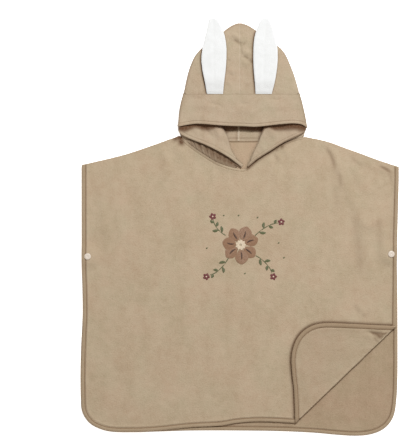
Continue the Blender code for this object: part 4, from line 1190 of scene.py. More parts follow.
# Outline of the ears, from foot to tip: share of the length, half width to the left, to the right
EAR_LEFT = (
    (0.0, 15.1, 15.1), (0.15, 18.6, 18.0), (0.30, 22.2, 21.4), (0.45, 23.8, 23.6),
    (0.58, 21.4, 24.4), (0.70, 17.4, 23.2), (0.80, 13.4, 20.4), (0.90, 9.8, 15.8),
    (0.955, 8.4, 11.6), (0.98, 6.0, 7.8), (0.993, 3.6, 4.6), (1.0, 0.6, 0.6),
)
EAR_RIGHT = (
    (0.0, 15.2, 15.2), (0.15, 17.4, 20.2), (0.30, 19.8, 23.6), (0.45, 21.2, 25.0),
    (0.58, 21.4, 24.4), (0.70, 20.4, 21.4), (0.80, 17.8, 17.2), (0.90, 13.2, 12.8),
    (0.955, 9.6, 10.2), (0.98, 6.8, 7.4), (0.993, 4.0, 4.4), (1.0, 0.6, 0.6),
)
# Name, foot x, foot y, tip x, tip y, half widths, node
EARS = (
    ("ear_left_plush", -46.8, 251.4, -51.2, 396.2, EAR_LEFT, "ear_left"),
    ("ear_right_plush", 45.0, 251.4, 48.4, 396.2, EAR_RIGHT, "ear_right"),
)
TURN_UNDER = 10.0
INNER_TOP_Y = 246.0
# Height of the hood's upper layer: y, height at the sides, extra at the middle
HOOD_HEIGHT = (
    (186.0, Z_BAND, 4.6), (200.0, Z_BAND, 4.6), (225.0, Z_BAND, 4.2), (251.0, Z_BAND, 3.2),
    (290.0, 9.9, 2.4), (330.0, 7.9, 1.8), (365.0, 5.6, 0.8), (387.0, Z_FRONT, 0.0),
)
height_y, height_base, height_extra = np.array(HOOD_HEIGHT).T


def ear_sides(foot_x, foot_y, tip_x, tip_y, widths, share):
    """Both side lines of an ear, at shares of its length."""
    part, left, right = curve_through(widths, 0.02).T
    spine = np.array([foot_x, foot_y]) + share[:, None] * (tip_x - foot_x, tip_y - foot_y)
    low = np.column_stack([-np.interp(share, part, left), 0 * share])
    high = np.column_stack([np.interp(share, part, right), 0 * share])
    return spine + low, spine + high


def painted_ear_shadow(points):
    """Painted shadow: 1 right beside an ear, where it hides the light, and 0 some millimetres off."""
    shades = []
    for _, *ends, widths, _ in EARS:
        low, high = ear_sides(*ends, widths, np.linspace(0.02, 0.98, 40))
        shades += [(low, 2.8, 0.85), (high, 1.6, 0.45)]
    return line_shades(points, shades)


def hood_height(points, left, right):
    """Height of the hood's upper layer: its height at the sides, and a crown between them that
    falls with the square of the distance from the middle."""
    x, y = points[..., 0], points[..., 1]
    reach = np.where(x < 0, np.interp(y, left[:, 1], left[:, 0]), np.interp(y, right[:, 1], right[:, 0]))
    share = np.clip(x / np.where(np.abs(reach) < 0.5, np.copysign(0.5, x), reach), 0, 1)
    return np.interp(y, height_y, height_base) + np.interp(y, height_y, height_extra) * (1 - share**2)


def side_radius(y):
    """Bend of the hood's fold: tight at the neck, and as wide as the hood is high above."""
    above = (np.interp(y, height_y, height_base) - Z_BACK) / 2
    rise = np.interp(y, (INNER_TOP_Y, BAND_SEAM_Y), (0, 1))
    return FOLD_R + rise * (above - FOLD_R)


def hood_side(table, inwards, centre_x):
    """A side of the hood as the middle of its fold, from the neck to the centre seam."""
    line = moved(curve_through(table, 1.5), inwards * WALL / 2)
    line = line[np.abs(line[:, 0]) > 4.0]
    return np.vstack([line, (centre_x, PEAK_Y - WALL / 2)])


hood_left_side = hood_side(HOOD_SIDE_LEFT, -1, -SEAM)
hood_right_side = hood_side(HOOD_SIDE_RIGHT, 1, SEAM)
print(f"the hood is {PEAK_Y - BACK_NECK[3][1]:.0f} mm from neck to peak")

# %% [markdown]
# The crown has its own creases: the centre seam pulls the cloth in, and a few short dents lie
# across it near the top. The layer inside the neck is gathered to the neckline on the left.

# %% Hood halves
SIDE_PITCH = 2.1
# The cut of what lies turned over is mirrored and set beside the rest, so that no two parts of
# a piece share a place on the flat cut
TURNED_CUT = (1, -1)
SHIFTED_CUT = (0, 380)
FOLD_TURNS = 1 - np.cos(np.linspace(0, math.pi / 2, 8))
# Dents of the crown: x0, y0, x1, y1, x2, y2, height, half width
CROWN_DENTS = (
    (-14.0, 356.5, -5.0, 350.5, 5.0, 344.5, -2.2, 3.4),
    (4.0, 344.5, 8.0, 346.5, 11.0, 350.0, -1.0, 2.6),
    (-18.0, 366.0, -8.0, 362.0, 4.0, 356.0, 1.6, 4.6),
    (2.4, 341.0, 3.8, 332.0, 5.0, 324.0, -1.3, 1.9),
    (5.0, 324.0, 12.0, 320.5, 18.0, 317.0, -1.9, 2.5),
    (17.0, 317.5, 21.0, 313.0, 24.0, 307.0, -1.7, 2.6),
    (8.0, 337.0, 13.0, 330.0, 20.0, 324.0, 1.5, 3.8),
    (4.0, 313.0, 11.0, 309.0, 17.0, 303.0, 1.2, 3.8),
    (-24.0, 316.0, -20.0, 314.5, -16.0, 315.0, -0.8, 2.2),
    (-22.0, 291.0, -15.0, 287.0, -10.0, 288.0, -0.8, 2.4),
    (-22.0, 300.0, -12.0, 294.0, -4.0, 295.0, 0.8, 3.4),
    (-26.0, 278.0, -18.0, 270.0, -16.0, 262.0, 0.9, 3.6),
    (8.0, 270.0, 14.0, 267.0, 20.0, 268.0, -0.5, 2.6),
    (-94.0, 292.0, -84.0, 276.0, -80.0, 262.0, 0.8, 7.0),
    (94.0, 290.0, 86.0, 276.0, 84.0, 262.0, 0.8, 7.0),
    (72.0, 318.0, 64.0, 296.0, 66.0, 276.0, 0.7, 6.0),
    (-78.0, 322.0, -70.0, 304.0, -74.0, 284.0, 0.7, 6.0),
)
# Gathers at the left of the neck: place along the neckline, height, half width, lean
GATHERS = (
    (28.0, 1.2, 1.8, -9.0), (36.0, 1.8, 2.0, -7.0), (45.0, 2.4, 1.7, -7.0), (51.0, 1.0, 1.2, -9.0),
    (58.0, 2.8, 2.0, -4.0), (66.0, 1.6, 1.6, -7.0), (72.0, 2.6, 1.7, -3.0), (80.0, 1.2, 1.4, -6.0),
    (85.0, 2.6, 2.0, -2.0), (92.5, 1.6, 1.3, -4.0), (98.0, 2.2, 1.8, 1.0), (107.0, 2.0, 1.8, 2.0),
    (114.0, 1.2, 1.5, 3.0),
)
GATHER_REACH = 22.0
ROLL_SHADE = 1.2
# Painted shade at the darkest places between the gathers: x, y, half width, depth
GAP_SHADES = (
    (-60.0, 147.0, 4.5, 0.9), (-47.0, 139.0, 3.0, 0.75), (-40.0, 131.0, 5.0, 0.85),
    (-30.0, 128.0, 3.0, 0.7), (-18.0, 121.0, 5.0, 0.95), (-72.0, 150.0, 4.0, 0.7),
    (-6.0, 115.0, 3.5, 0.8),
)
NAME_OF = {1: "left", -1: "right"}
HOOD_BACK_X = -1.8
HOOD_STRIP = 5.0
SEAM_DARK = 3.4
NECK_SAG = 0.3
CROWN_STEP = 0.4
CENTRE_STEPS = (0, 0.4, 1.0, 1.8, 2.8, 4.2, 6.4)
LAYER_LONG = 90.0
LAYER_PITCH = 1.1
SEAM_RIDGE = 1.2
SEAM_GROOVE = 0.5
# Depth of the painted shadow right under the brim's rim
BRIM_PAINTED_SHADOW = 0.93


def seam_groove(points, centre_x):
    """Dip of the cloth into a seam beside it, and small puckers along it."""
    far = np.abs(points[..., 0] - centre_x)
    ripple = np.sin(points[..., 1] / 2.1 + 1.4 * np.sin(points[..., 1] / 11.0))
    return -0.35 * hump(far, 1.8) + 0.16 * ripple * hump(far - 2.6, 2.4)


def gathered(points):
    """Height of the gathers: a bell across each short line that leans up from the neckline."""
    rise = np.zeros(points.shape[:-1])
    far = distance_to(points, near_front_neck)
    for place, height, half, lean in GATHERS:
        foot = at_length(front_neck, np.array([place, place + 2.0]))
        line = np.array([foot[0], foot[0] + (lean, GATHER_REACH)])
        fade = ramp(far, 0.6, 3.0) * ramp(GATHER_REACH - far, 0, 12.0)
        rise += height * hump(distance_to(points, line), half) * fade
    return rise


# How far the painted shadow under the brim reaches down, which the folds of both lapels make uneven: x,
# reach
BRIM_REACH = (
    (-117.0, 6.0), (-111.0, 10.0), (-105.0, 13.6), (-99.0, 13.2), (-94.0, 11.0), (-86.0, 8.6), (-79.0, 9.4),
    (-71.0, 12.4), (-62.0, 12.2), (-54.0, 9.6), (-46.0, 6.4), (-36.0, 4.6), (-31.0, 9.0), (-25.6, 15.2),
    (-20.0, 10.4), (-12.0, 8.8), (0.0, 6.4), (8.0, 7.4), (20.0, 8.0), (36.0, 9.0), (42.0, 16.0),
    (48.0, 5.0), (55.0, 4.6), (60.0, 7.4), (66.0, 10.6), (76.0, 12.8), (94.0, 13.4), (105.0, 13.0),
    (112.0, 14.6), (118.0, 14.0), (123.0, 9.6),
)
brim_x, brim_reach = np.array(BRIM_REACH).T
rim_top = curve_through(RIM_TOP, 2.0)


def painted_brim_shadow(points):
    """Painted shadow under the brim: nearly 1 right under its rim and 0 below its reach: e to the
    minus (depth / reach) to the fifth power, so the painted shadow ends softly but soon."""
    depth = np.interp(points[..., 0], rim_top[:, 0], rim_top[:, 1]) - points[..., 1]
    reach = np.interp(points[..., 0], brim_x, brim_reach)
    return BRIM_PAINTED_SHADOW * np.exp(-((np.maximum(depth, 0) / reach) ** 5))


def fold_rows(start, stop, bottom, ease, cells):
    """Rows of points from the hood's fold to a centre line, finer at both ends, of which the
    first lies on a bottom line past the ease at the fold."""
    long = np.linalg.norm(stop - start, axis=1)
    low = FOLD_TURNS[:, None] * np.minimum(side_radius(start[:, 1]), long / 3)
    last = long - np.array(CENTRE_STEPS)[::-1, None] * np.minimum(1, long / 30.0)
    even = np.linspace(0, 1, cells)[1:-1, None]
    reach = np.vstack([low, low[-1] + even * (last[0] - low[-1]), last])
    share = (reach / np.maximum(long, 1e-6)).T[..., None]
    grid = start[:, None] + share * (stop - start)[:, None]
    want = np.stack([grid[0, :, 0], np.interp(grid[0, :, 0], *bottom.T)], axis=-1)
    want = (want - grid[0]) * smoothstep(reach[:, 0] / ease)[:, None]
    fade = (1 - np.clip(np.arange(len(grid)) / 14.0, 0, 1))[:, None, None]
    return grid + want[None] * fade


def hood_back(stations, near_side, sign, roll):
    """The back half of the hood, on the floor: a ridge and a groove at its centre seam, a stitched strip
    at the neck, painted shadow under the brim, painted shade in the groove, along the strip and beside
    the lapel, and a painted highlight on the ridge."""
    centre_x = stations[-1, 0]
    neck = moved(back_neck, SEAM)
    neck_y = np.interp(centre_x, *neck.T)
    rise = np.linspace(0, 1, len(stations)) * (stations[-1, 1] - neck_y)
    seam = np.column_stack([np.full(len(rise), centre_x), neck_y + rise])
    back = fold_rows(stations, seam, neck, 0.5, 30)
    neck_far = distance_to(back, spaced(neck, COARSE / 2)) - HOOD_STRIP
    middle = back[..., 0] - HOOD_BACK_X
    z = Z_BACK + fold_drop(distance_to(back, near_side), side_radius(back[..., 1]))
    z += SEAM_RIDGE * hump(middle, 1.4) - SEAM_GROOVE * hump(middle + SEAM_DARK, 1.2)
    deep = deepest(
        painted_brim_shadow(back),
        painted_crevice_shade("hood strip", neck_far) + painted_crevice_shade("hood groove", middle + SEAM_DARK),
        painted_crevice_shade(f"hood back {NAME_OF[sign]}", distance_to(back, roll) - ROLL_SHADE),
    )
    deep = deep + painted_crevice_shade("hood ridge", middle)
    share = 1 - 0.5 * hump(neck_far, 0.8)
    return with_height(back, z), back * TURNED_CUT + SHIFTED_CUT, share, deep


def hood_crown(stations, near_side):
    """The front half above the brim band: it bends down to the fold at its side and has the dents
    of the crown, with painted shadow beside the ears, painted shade in the dents and along the
    side, and a painted highlight along the centre seam."""
    centre_x = stations[-1, 0]
    high = stations[stations[:, 1] >= CROWN_SIDE_Y]
    rise = np.linspace(0, 1, len(high)) * (stations[-1, 1] - BAND_SEAM_Y - SEAM)
    seam = np.column_stack([np.full(len(high), centre_x), BAND_SEAM_Y + SEAM + rise])
    foot = np.array([(-200.0, BAND_SEAM_Y + SEAM), (200.0, BAND_SEAM_Y + SEAM)])
    crown = fold_rows(high, seam, foot, 5.0, 62)
    side_far = distance_to(crown, near_side)
    dents = lines_rise(crown, CROWN_DENTS, 0.1)
    z = hood_height(crown, hood_left_side, hood_right_side)
    z -= fold_drop(side_far, side_radius(crown[..., 1]))
    z += (dents + relief(crown)) * ramp(side_far, 4.0, 8.0)
    z += seam_groove(crown, centre_x)
    z -= CROWN_STEP * hump(crown[..., 1] - BAND_SEAM_Y, 4.5)
    deep = deepest(painted_ear_shadow(crown), np.clip(-0.16 * dents, 0, 0.4), painted_crevice_shade("hood side", side_far))
    deep = deep + painted_crevice_shade("crown ridge", crown[..., 0] - centre_x)
    seam_far = np.minimum(np.abs(crown[..., 0] - centre_x), np.abs(crown[..., 1] - BAND_SEAM_Y - SEAM))
    return with_height(crown, z), crown, round_edge(seam_far, 1.5, 0.88), deep


def neck_layer_cut(stations, sign, roll):
    """Flat cut of the layer inside the neck: from the hood's fold to under the lapel's roll, and
    from the neckline up to a line hidden under the brim."""
    front_seam = moved(front_neck, SEAM)
    inner = moved(roll, sign * (TURN_UNDER + GAP))
    inner = inner[inner[:, 1] > np.interp(inner[:, 0], *front_seam.T) + 1.0]
    low_side = stations[stations[:, 1] <= INNER_TOP_Y]
    foot = front_seam[np.abs(front_seam[:, 0]) < abs(stations[0, 0]) - 2.0]
    foot = foot[::sign]
    foot = foot[sign * (inner[0, 0] - foot[:, 0]) > 1.0]
    corner = np.array([inner[-1, 0] - sign * 16.0, INNER_TOP_Y])
    across = ruler(LAYER_LONG, FOLD_TURNS * FOLD_R, (0, 0.6), LAYER_PITCH)
    up = np.linspace(0, 1, len(low_side))
    lines = [np.vstack([low_side[:1], foot]), np.array([low_side[-1], corner]), np.vstack([inner, corner])]
    bottom, top, right = (
        at_length(line, share * along(line)[-1]) for line, share in zip(lines, (across, across, up))
    )
    bottom[-1] = right[0]
    return patch(bottom, top, low_side, right, across, up)


def neck_layer(stations, near_side, sign, roll):
    """The layer inside the neck, with painted shadow under the brim, and its gathers on the left under
    painted shade that is darkest between them.
    """
    layer = neck_layer_cut(stations, sign, roll)
    side_far = distance_to(layer, near_side)
    z = Z_FRONT - fold_drop(side_far, FOLD_R)
    deep = painted_brim_shadow(layer)
    if sign > 0:
        neck_far = distance_to(layer, near_front_neck)
        sag = ramp(neck_far, 1.0, 8.0) * ramp(side_far, 8.0, 16.0)
        z = z + gathered(layer) - NECK_SAG * sag + neck_rise(layer, 4.5)
        # Painted shade over the gap under the left lapel's rim, a little lighter at the neckline and on the
        # gathers
        folds = np.clip(0.8 - 0.22 * hump(neck_far, 5.0) - 0.08 * gathered(layer), 0.2, 0.9)
        along_gap = ramp(layer[..., 0], -106.0, 16.0)
        deep = deepest(deep, along_gap * deepest(folds, spot_shades(layer, GAP_SHADES)))
    seam = spaced(moved(front_neck, SEAM), COARSE / 2)
    return with_height(layer, z), layer, round_edge(distance_to(layer, seam) + 0.1), deep


def hood_half(name, side, sign, roll, material):
    """One half of the hood as one cloth, and its flat area: its back, its crown and its neck layer,
    which meet in the fold at its side."""
    run = along(side)[-1]
    stations = at_length(side, np.linspace(0, run, int(run / SIDE_PITCH)))
    near_side = np.vstack([side[::3], side[-1:]])
    back = hood_back(stations, near_side, sign, roll)
    fronts = [hood_crown(stations, near_side), neck_layer(stations, near_side, sign, roll)]
    thing = cloth(name, [back] + [turned_over(grid) for grid in fronts], material)
    return thing, sum(flat_area(grid[1]) for grid in [back] + fronts)


roll_left = curve_through(ROLL_LEFT, 2.0)
roll_right = curve_through(ROLL_RIGHT, 2.0)
hood_left, hood_left_area = hood_half("hood_left_terry", hood_left_side, 1, roll_left, terry_hood)
hood_right, hood_right_area = hood_half("hood_right_terry", hood_right_side, -1, roll_right, terry_hood)
print(f"hood halves {hood_left_area:.3f} and {hood_right_area:.3f} square metres")

# %% [markdown]
# ## Brim band
# The band is a strip that runs over the top of the hood, folds at both ends of the brim, and
# goes on down each side of the neck as a lapel. Its rim is turned in and stitched, so it is
# thicker there, with a groove where the stitches hold it. Five grids share their fold lines: the
# top, two lapels, and the strips that turn under at the neck.

# %% Brim band
RIM_STITCH = 5.4
# Painted shade over each whole lapel, and over the strips turned under at the neck
LAPEL_PAINTED_SHADE = 0.04
UNDER_PAINTED_SHADE = 0.75
BAND_WIDE = 236.0
BAND_HIGH = 58.0
LAPEL_LONG = 170.0
LAPEL_WIDE = 60.0
# Lift of the lapel's rim by side of the neck, 1 on the left and -1 on the right
RIM_LIFT = {1: 3.8, -1: 2.2}
BRIM_LIFT = 1.2
PUFF = (-112.0, 186.0, 4.0, 17.0)
# Soft folds of the lapels: x0, y0, x1, y1, x2, y2, height, half width
LAPEL_FOLDS = (
    (-92.0, 196.0, -84.0, 184.0, -72.0, 172.0, 2.0, 6.0),
    (-70.0, 196.0, -62.0, 182.0, -50.0, 168.0, -2.4, 5.0),
    (-50.0, 196.0, -42.0, 182.0, -32.0, 162.0, 2.2, 5.0),
    (-34.0, 170.0, -26.0, 156.0, -14.0, 142.0, -1.0, 5.0),
    (52.0, 196.0, 58.0, 182.0, 72.0, 166.0, 1.6, 6.0),
    (76.0, 196.0, 84.0, 184.0, 96.0, 174.0, -1.4, 6.0),
    (38.0, 160.0, 44.0, 150.0, 54.0, 144.0, 0.9, 5.0),
)
BAND_STEPS = (0, 0.3, 0.7, 1.2, 1.9, 2.8, 3.7, 4.4, 4.9, 5.4, 5.9, 6.4, 7.2, 8.4, 10.2)
UNDER_STEPS = np.concatenate([FOLD_TURNS * FOLD_R, [3.5, 6.0, 8.4, 9.2, TURN_UNDER]])

band_left = moved(curve_through(BAND_SIDE_LEFT, 2.0), -WALL / 2)
band_left[0] = rim_top[0]
band_left[-1, 1] = CROWN_SIDE_Y - SEAM
band_right = moved(curve_through(BAND_SIDE_RIGHT, 2.0), WALL / 2)
band_right[0] = rim_top[-1]
band_right[-1, 1] = CROWN_SIDE_Y - SEAM
# Slight waves of the band: x0, y0, x1, y1, x2, y2, height, half width
BAND_WAVES = (
    (-92.0, 236.0, -60.0, 228.0, -20.0, 232.0, 0.8, 7.0),
    (-62.0, 236.0, -44.0, 231.0, -26.0, 224.0, -1.3, 2.4),
    (-96.0, 246.0, -80.0, 243.0, -64.0, 246.0, -0.8, 2.4),
    (-30.0, 214.0, 10.0, 220.0, 40.0, 214.0, 0.8, 7.0),
    (-6.0, 236.0, 8.0, 232.0, 24.0, 234.0, -0.8, 2.6),
    (40.0, 238.0, 66.0, 226.0, 96.0, 230.0, 0.9, 7.0),
    (52.0, 244.0, 70.0, 240.0, 84.0, 243.0, -1.0, 2.6),
    (-100.0, 212.0, -80.0, 208.0, -60.0, 212.0, 0.6, 6.0),
    (60.0, 214.0, 78.0, 211.0, 96.0, 214.0, 0.6, 5.0),
    (4.0, 248.0, 2.0, 238.0, 4.0, 226.0, -0.5, 3.0),
)


def rim_share(far):
    """Share of the wall near the turned rim: round, full, thin at its stitches, then even."""
    full = round_edge(far, 2.4, 0.15) * (0.88 + 0.12 * hump(far - 2.6, 2.2))
    return full - 0.42 * hump(far - RIM_STITCH, 0.75)


def puffed(points):
    """Height of the brim's left corner, which stands up as a soft puff."""
    x, y, height, half = PUFF
    return height * hump(far_from(points, x, y), half)


def band_height(points):
    """Height of the middle of the band's top: the hood's height, bent down at both sides, with
    slight waves, and lifted along the rim."""
    z = hood_height(points, band_left, band_right) + puffed(points)
    sides = [distance_to(points, side[::2]) for side in (band_left, band_right)]
    for far in sides:
        z -= fold_drop(far, FOLD_R)
    side_far = np.minimum(*sides)
    z += (lines_rise(points, BAND_WAVES, 0.1) + relief(points)) * ramp(side_far, 2.0, 8.0)
    return z + BRIM_LIFT * beside(points, rim_top, 16.0) * ramp(side_far, 4.0, 20.0)


def lapel_height(points, side, sign, rim, roll):
    """Height of the middle of a lapel: bent up to the brim's fold and down to the roll, and
    lifted along its rim."""
    side_far = distance_to(points, side)
    z = Z_LAPEL + fold_drop(side_far, FOLD_R) - fold_drop(distance_to(points, roll), FOLD_R)
    free = ramp(side_far, 8.0, 20.0) * ramp(far_from(points, *rim[-1]), 4.0, 24.0)
    folds = lines_rise(points, LAPEL_FOLDS, 0.2)
    lift = RIM_LIFT[sign] * beside(points, rim, 13.0)
    return z + puffed(points) + (lift + relief(points) + folds) * free


def band_top():
    """The band over the top of the hood, between the rim and the crown's seam."""
    seam_line = np.array(
        [
            band_left[-1], (band_left[-1, 0] + 5.5, BAND_SEAM_Y - SEAM),
            (band_right[-1, 0] - 5.5, BAND_SEAM_Y - SEAM), band_right[-1],
        ]
    )
    up = ruler(BAND_HIGH, BAND_STEPS, (0, 0.4, 1.0, 1.8, 2.8), 2.4)
    across = ruler(BAND_WIDE, FOLD_TURNS * FOLD_R * 1.2, FOLD_TURNS * FOLD_R * 1.2, 2.6)
    cut = patch(
        at_share_x(rim_top, across), at_share_x(seam_line, across),
        at_share_y(band_left, up), at_share_y(band_right, up), across, up,
    )
    rim_far = distance_to(cut, rim_top)
    share = rim_share(rim_far) * round_edge(BAND_SEAM_Y - cut[..., 1], 1.5, 0.88)
    # Painted shade along the rim's stitches, at the crown's seam and beside both sides
    deep = deepest(
        painted_crevice_shade("stitches", rim_far - RIM_STITCH),
        painted_crevice_shade("crown seam", cut[..., 1] - BAND_SEAM_Y),
        painted_crevice_shade("band side", distance_to(cut, band_left[::2])),
        painted_crevice_shade("band side", distance_to(cut, band_right[::2])),
    )
    return with_height(cut, band_height(cut)), cut, share, deep


def lapel(side, sign, rim, roll):
    """One side of the neck as two grids: the lapel between its rim and its roll, and the strip
    that turns under at the roll."""
    far_line = np.vstack([side[-1:], roll[::-1]])
    tip = np.array([rim[-1], roll[0]])
    across = ruler(LAPEL_LONG, FOLD_TURNS * FOLD_R, (0, 2.0, 4.0), 2.6)
    up = ruler(LAPEL_WIDE, BAND_STEPS, FOLD_TURNS * FOLD_R * 0.9, 2.2)
    lines = ((rim, across), (far_line, across), (tip, up))
    low, high, end = (at_length(line, share * along(line)[-1]) for line, share in lines)
    cut = patch(low, high, at_share_y(side, up), end, across, up)
    rim_far = distance_to(cut, rim)
    # Painted shadow under the brim, and painted shade along the rim's stitches, beside the right rim and
    # over the whole lapel
    deep = deepest(
        painted_brim_shadow(cut) * smoothstep(distance_to(cut, side) / 3.0),
        painted_crevice_shade("stitches", rim_far - RIM_STITCH),
        painted_crevice_shade(f"{NAME_OF[sign]} rim", rim_far),
        LAPEL_PAINTED_SHADE,
    )
    z = lapel_height(cut, side, sign, rim, roll)
    upper = (with_height(cut, z), cut * TURNED_CUT + SHIFTED_CUT, rim_share(rim_far), deep)

    on_roll = high[distance_to(high, roll) < 0.01]
    over = moved(on_roll, sign * -1.0) - on_roll
    floor_y = np.interp(on_roll[:, 0], *moved(front_neck, SEAM).T) + 1.0
    reach = np.minimum(UNDER_STEPS[:, None], np.maximum((on_roll[:, 1] - floor_y) * 0.7, 0.4))
    cut = on_roll[None] + reach[..., None] * over[None]
    z = Z_FRONT + fold_drop(distance_to(cut, roll), FOLD_R)
    # The strip turned under at the roll has painted shade all over
    under = (with_height(cut, z), cut, np.full(z.shape, 0.9), np.full(z.shape, UNDER_PAINTED_SHADE))
    return [turned_over(upper), under] if sign > 0 else [upper, turned_over(under)]


# Side of the brim, sign, rim and roll of each lapel
LAPELS = {
    "left": (band_left, 1, curve_through(RIM_LEFT, 2.0), roll_left),
    "right": (band_right, -1, curve_through(RIM_RIGHT, 2.0), roll_right),
}
band_grids = [band_top()]
for sides in LAPELS.values():
    band_grids += lapel(*sides)
band_piece = cloth("band_terry", band_grids, terry_hood)
band_area = sum(flat_area(grid[1]) for grid in band_grids)
print(f"brim band {band_area:.3f} square metres")

# %% [markdown]
# ## Embroidery
# A spray of flowers is embroidered on the chest. Each petal and leaf is a patch of satin stitch:
# a grid in the shape of a leaf, laid on the front's own points and raised a little, with a fine
# ripple for its threads. Darker strokes and a cream eye lie on the petals.

# %% Embroidery
SATIN = 1.2
THREAD_PITCH = 0.0009


def on_front(points, lift):
    """Places flat points so far above the front's upper face."""
    return front_place(points, relief(points) + WALL / 2 + lift)


def satin(name, colour, shade):
    """Glossy embroidery thread: fine ripples across the patch, and a soft change of tone."""
    material, wire, shader = new_material(name)
    cut = wire.cut()
    across = cut.part("Y")
    wobble = cut.noise(160.0, 2.0, 0.5)
    thread = (across * (2 * math.pi / THREAD_PITCH) + wobble * 5.0).wave() * 0.5 + 0.5
    depth = (1.0 - thread) * 0.5 + wobble * 0.8
    tone = depth.between(0.25, 1.05).mixed(linear(*colour), linear(*shade))
    finished(shader, tone, 0.42 + wobble * 0.2, thread + wobble * 0.4, 0.00012, Sheen_Weight=0.08)
    return material


def spoke(x, y, turn, foot, tip, lean=0.0):
    """Foot and tip of a patch that points away from a flower's middle, its tip leaning a little."""
    return (
        x + foot * math.cos(turn), y + foot * math.sin(turn),
        x + tip * math.cos(turn + lean), y + tip * math.sin(turn + lean),
    )


# The large flower's middle, and its petals: turn, reach, half width, bend
FLOWER = (2.0, -34.0)
EYE_PATCHES = 9
PETAL_SHAPES = (
    (0.30, 35.0, 11.5, 1.5), (1.18, 37.0, 12.5, -1.0), (2.05, 36.0, 11.0, 1.0), (2.93, 35.0, 12.0, 1.5),
    (3.80, 36.0, 11.5, -1.5), (4.72, 37.0, 12.5, 1.0), (5.55, 35.0, 11.5, 1.0),
)
# Patches of stitch: foot x, foot y, tip x, tip y, half width, bend to the left, fullness, lift, colour
PETALS = tuple(
    (*spoke(*FLOWER, turn, 7.0, reach, 0.05), wide, bend, 1.25, 0.15 + 0.25 * (i % 2), "brown")
    for i, (turn, reach, wide, bend) in enumerate(PETAL_SHAPES)
)
STROKES = tuple(
    (
        x0 + 0.18 * (x1 - x0), y0 + 0.18 * (y1 - y0), x0 + 0.72 * (x1 - x0), y0 + 0.72 * (y1 - y0),
        1.5, bend, 0.9, 0.75, "dark",
    )
    for x0, y0, x1, y1, _, bend, *_ in PETALS
)
EYE = tuple(
    (*spoke(*FLOWER, k * 2 * math.pi / EYE_PATCHES, 2.0, 10.0), 3.0, 0.4, 1.0, 0.8, "cream")
    for k in range(EYE_PATCHES)
)
# Stems as x0, y0, x1, y1, x2, y2; buds at their ends as x, y, turn; loose seeds as x, y
SPRIGS = (
    (28.0, -18.0, 52.0, 2.0, 76.0, 8.0), (-20.0, -56.0, -38.0, -82.0, -60.0, -92.0),
    (30.0, -54.0, 52.0, -70.0, 62.0, -90.0), (-26.0, -16.0, -44.0, -2.0, -50.0, 16.0),
)
BUDS = ((79.0, 9.5, 0.3), (-63.0, -94.0, 3.6), (64.0, -94.0, 5.0), (-51.0, 20.0, 1.9))
BUD_PETALS = 5
SEEDS = (
    (-2.0, 22.0), (34.0, 18.0), (-62.0, -40.0), (74.0, -30.0), (10.0, -88.0), (-30.0, 22.0), (84.0, -58.0),
)


def sprig_rows():
    """Stems of the sprigs in three runs each, and their leaves, which shorten towards the tip."""
    rows = []
    for x0, y0, x1, y1, x2, y2 in SPRIGS:
        stem = curve_through(((x0, y0), (x1, y1), (x2, y2)), 3.0)
        for start, stop in ((0.0, 0.36), (0.32, 0.70), (0.66, 1.0)):
            a, b = at_length(stem, np.array([start, stop]) * along(stem)[-1])
            rows.append((*a, *b, 0.9, 0.6, 0.5, 0.0, "olive"))
        for i, share in enumerate((0.22, 0.42, 0.62, 0.82)):
            foot, ahead = at_length(stem, np.array([share, share + 0.04]) * along(stem)[-1])
            way = 1 if i % 2 else -1
            turn = math.atan2(*(ahead - foot)[::-1]) + 0.85 * way
            rows.append((*spoke(*foot, turn, 0.0, 13.0 - 1.5 * i), 2.7, way * 1.0, 1.0, 0.2, "olive"))
    return tuple(rows)


def bud_rows():
    """Short petals round each bud, and its cream eye."""
    rows = []
    for x, y, lean in BUDS:
        for k in range(BUD_PETALS):
            turn = lean + k * 2 * math.pi / BUD_PETALS
            rows.append((*spoke(x, y, turn, 0.0, 7.0), 2.5, 0.3, 1.2, 0.2, "burgundy"))
        rows.append((x - 1.6, y, x + 1.6, y, 1.5, 0.0, 1.0, 0.7, "cream"))
    return tuple(rows)


def seed_rows():
    """One slanting patch for each loose seed."""
    return tuple((x - 1.8, y - 1.2, x + 1.8, y + 1.2, 1.2, 0.0, 0.9, 0.2, "olive") for x, y in SEEDS)


def leaf_grid(x0, y0, x1, y1, half, bend, full, lift, rows=13, cols=7):
    """A leaf as (place, cut, wall share): its half width is a sine of its length, and its
    middle line bends by a parabola."""
    u = (1 - np.cos(np.linspace(0, math.pi, rows)))[:, None] / 2
    v = np.sin(np.linspace(-math.pi / 2, math.pi / 2, cols))[None]
    base, tip = np.array([x0, y0]), np.array([x1, y1])
    ahead = (tip - base) / np.linalg.norm(tip - base)
    left = np.array([-ahead[1], ahead[0]])
    wide = half * np.sin(math.pi * u**full) ** 0.7
    spread = wide * v + bend * 4 * u * (1 - u)
    points = base + u[..., None] * (tip - base) + spread[..., None] * left
    share = 0.2 + 0.8 * np.sqrt(np.clip((1 - v**2) * np.sin(math.pi * u), 0, 1))
    cut = np.stack([wide * v, u * np.linalg.norm(tip - base) + 0 * v], axis=-1)
    return on_front(points, lift), cut, share


# Each colour of thread, and the tone between its stitches
THREADS = {
    "brown": ((158, 122, 94), (136, 101, 75)),
    "dark": ((88, 62, 48), (70, 48, 36)),
    "cream": ((228, 211, 186), (210, 190, 162)),
    "olive": ((104, 108, 72), (84, 88, 56)),
    "burgundy": ((122, 58, 58), (98, 42, 44)),
}
threads = {tint: satin(f"thread_{tint}", *tones) for tint, tones in THREADS.items()}
motifs = PETALS + STROKES + EYE + sprig_rows() + bud_rows() + seed_rows()
embroidery = [
    cloth(f"embroidery_{tint}", [leaf_grid(*row[:-1]) for row in motifs if row[-1] == tint], paint, SATIN)
    for tint, paint in threads.items()
]
print(len(motifs), "patches of satin stitch")

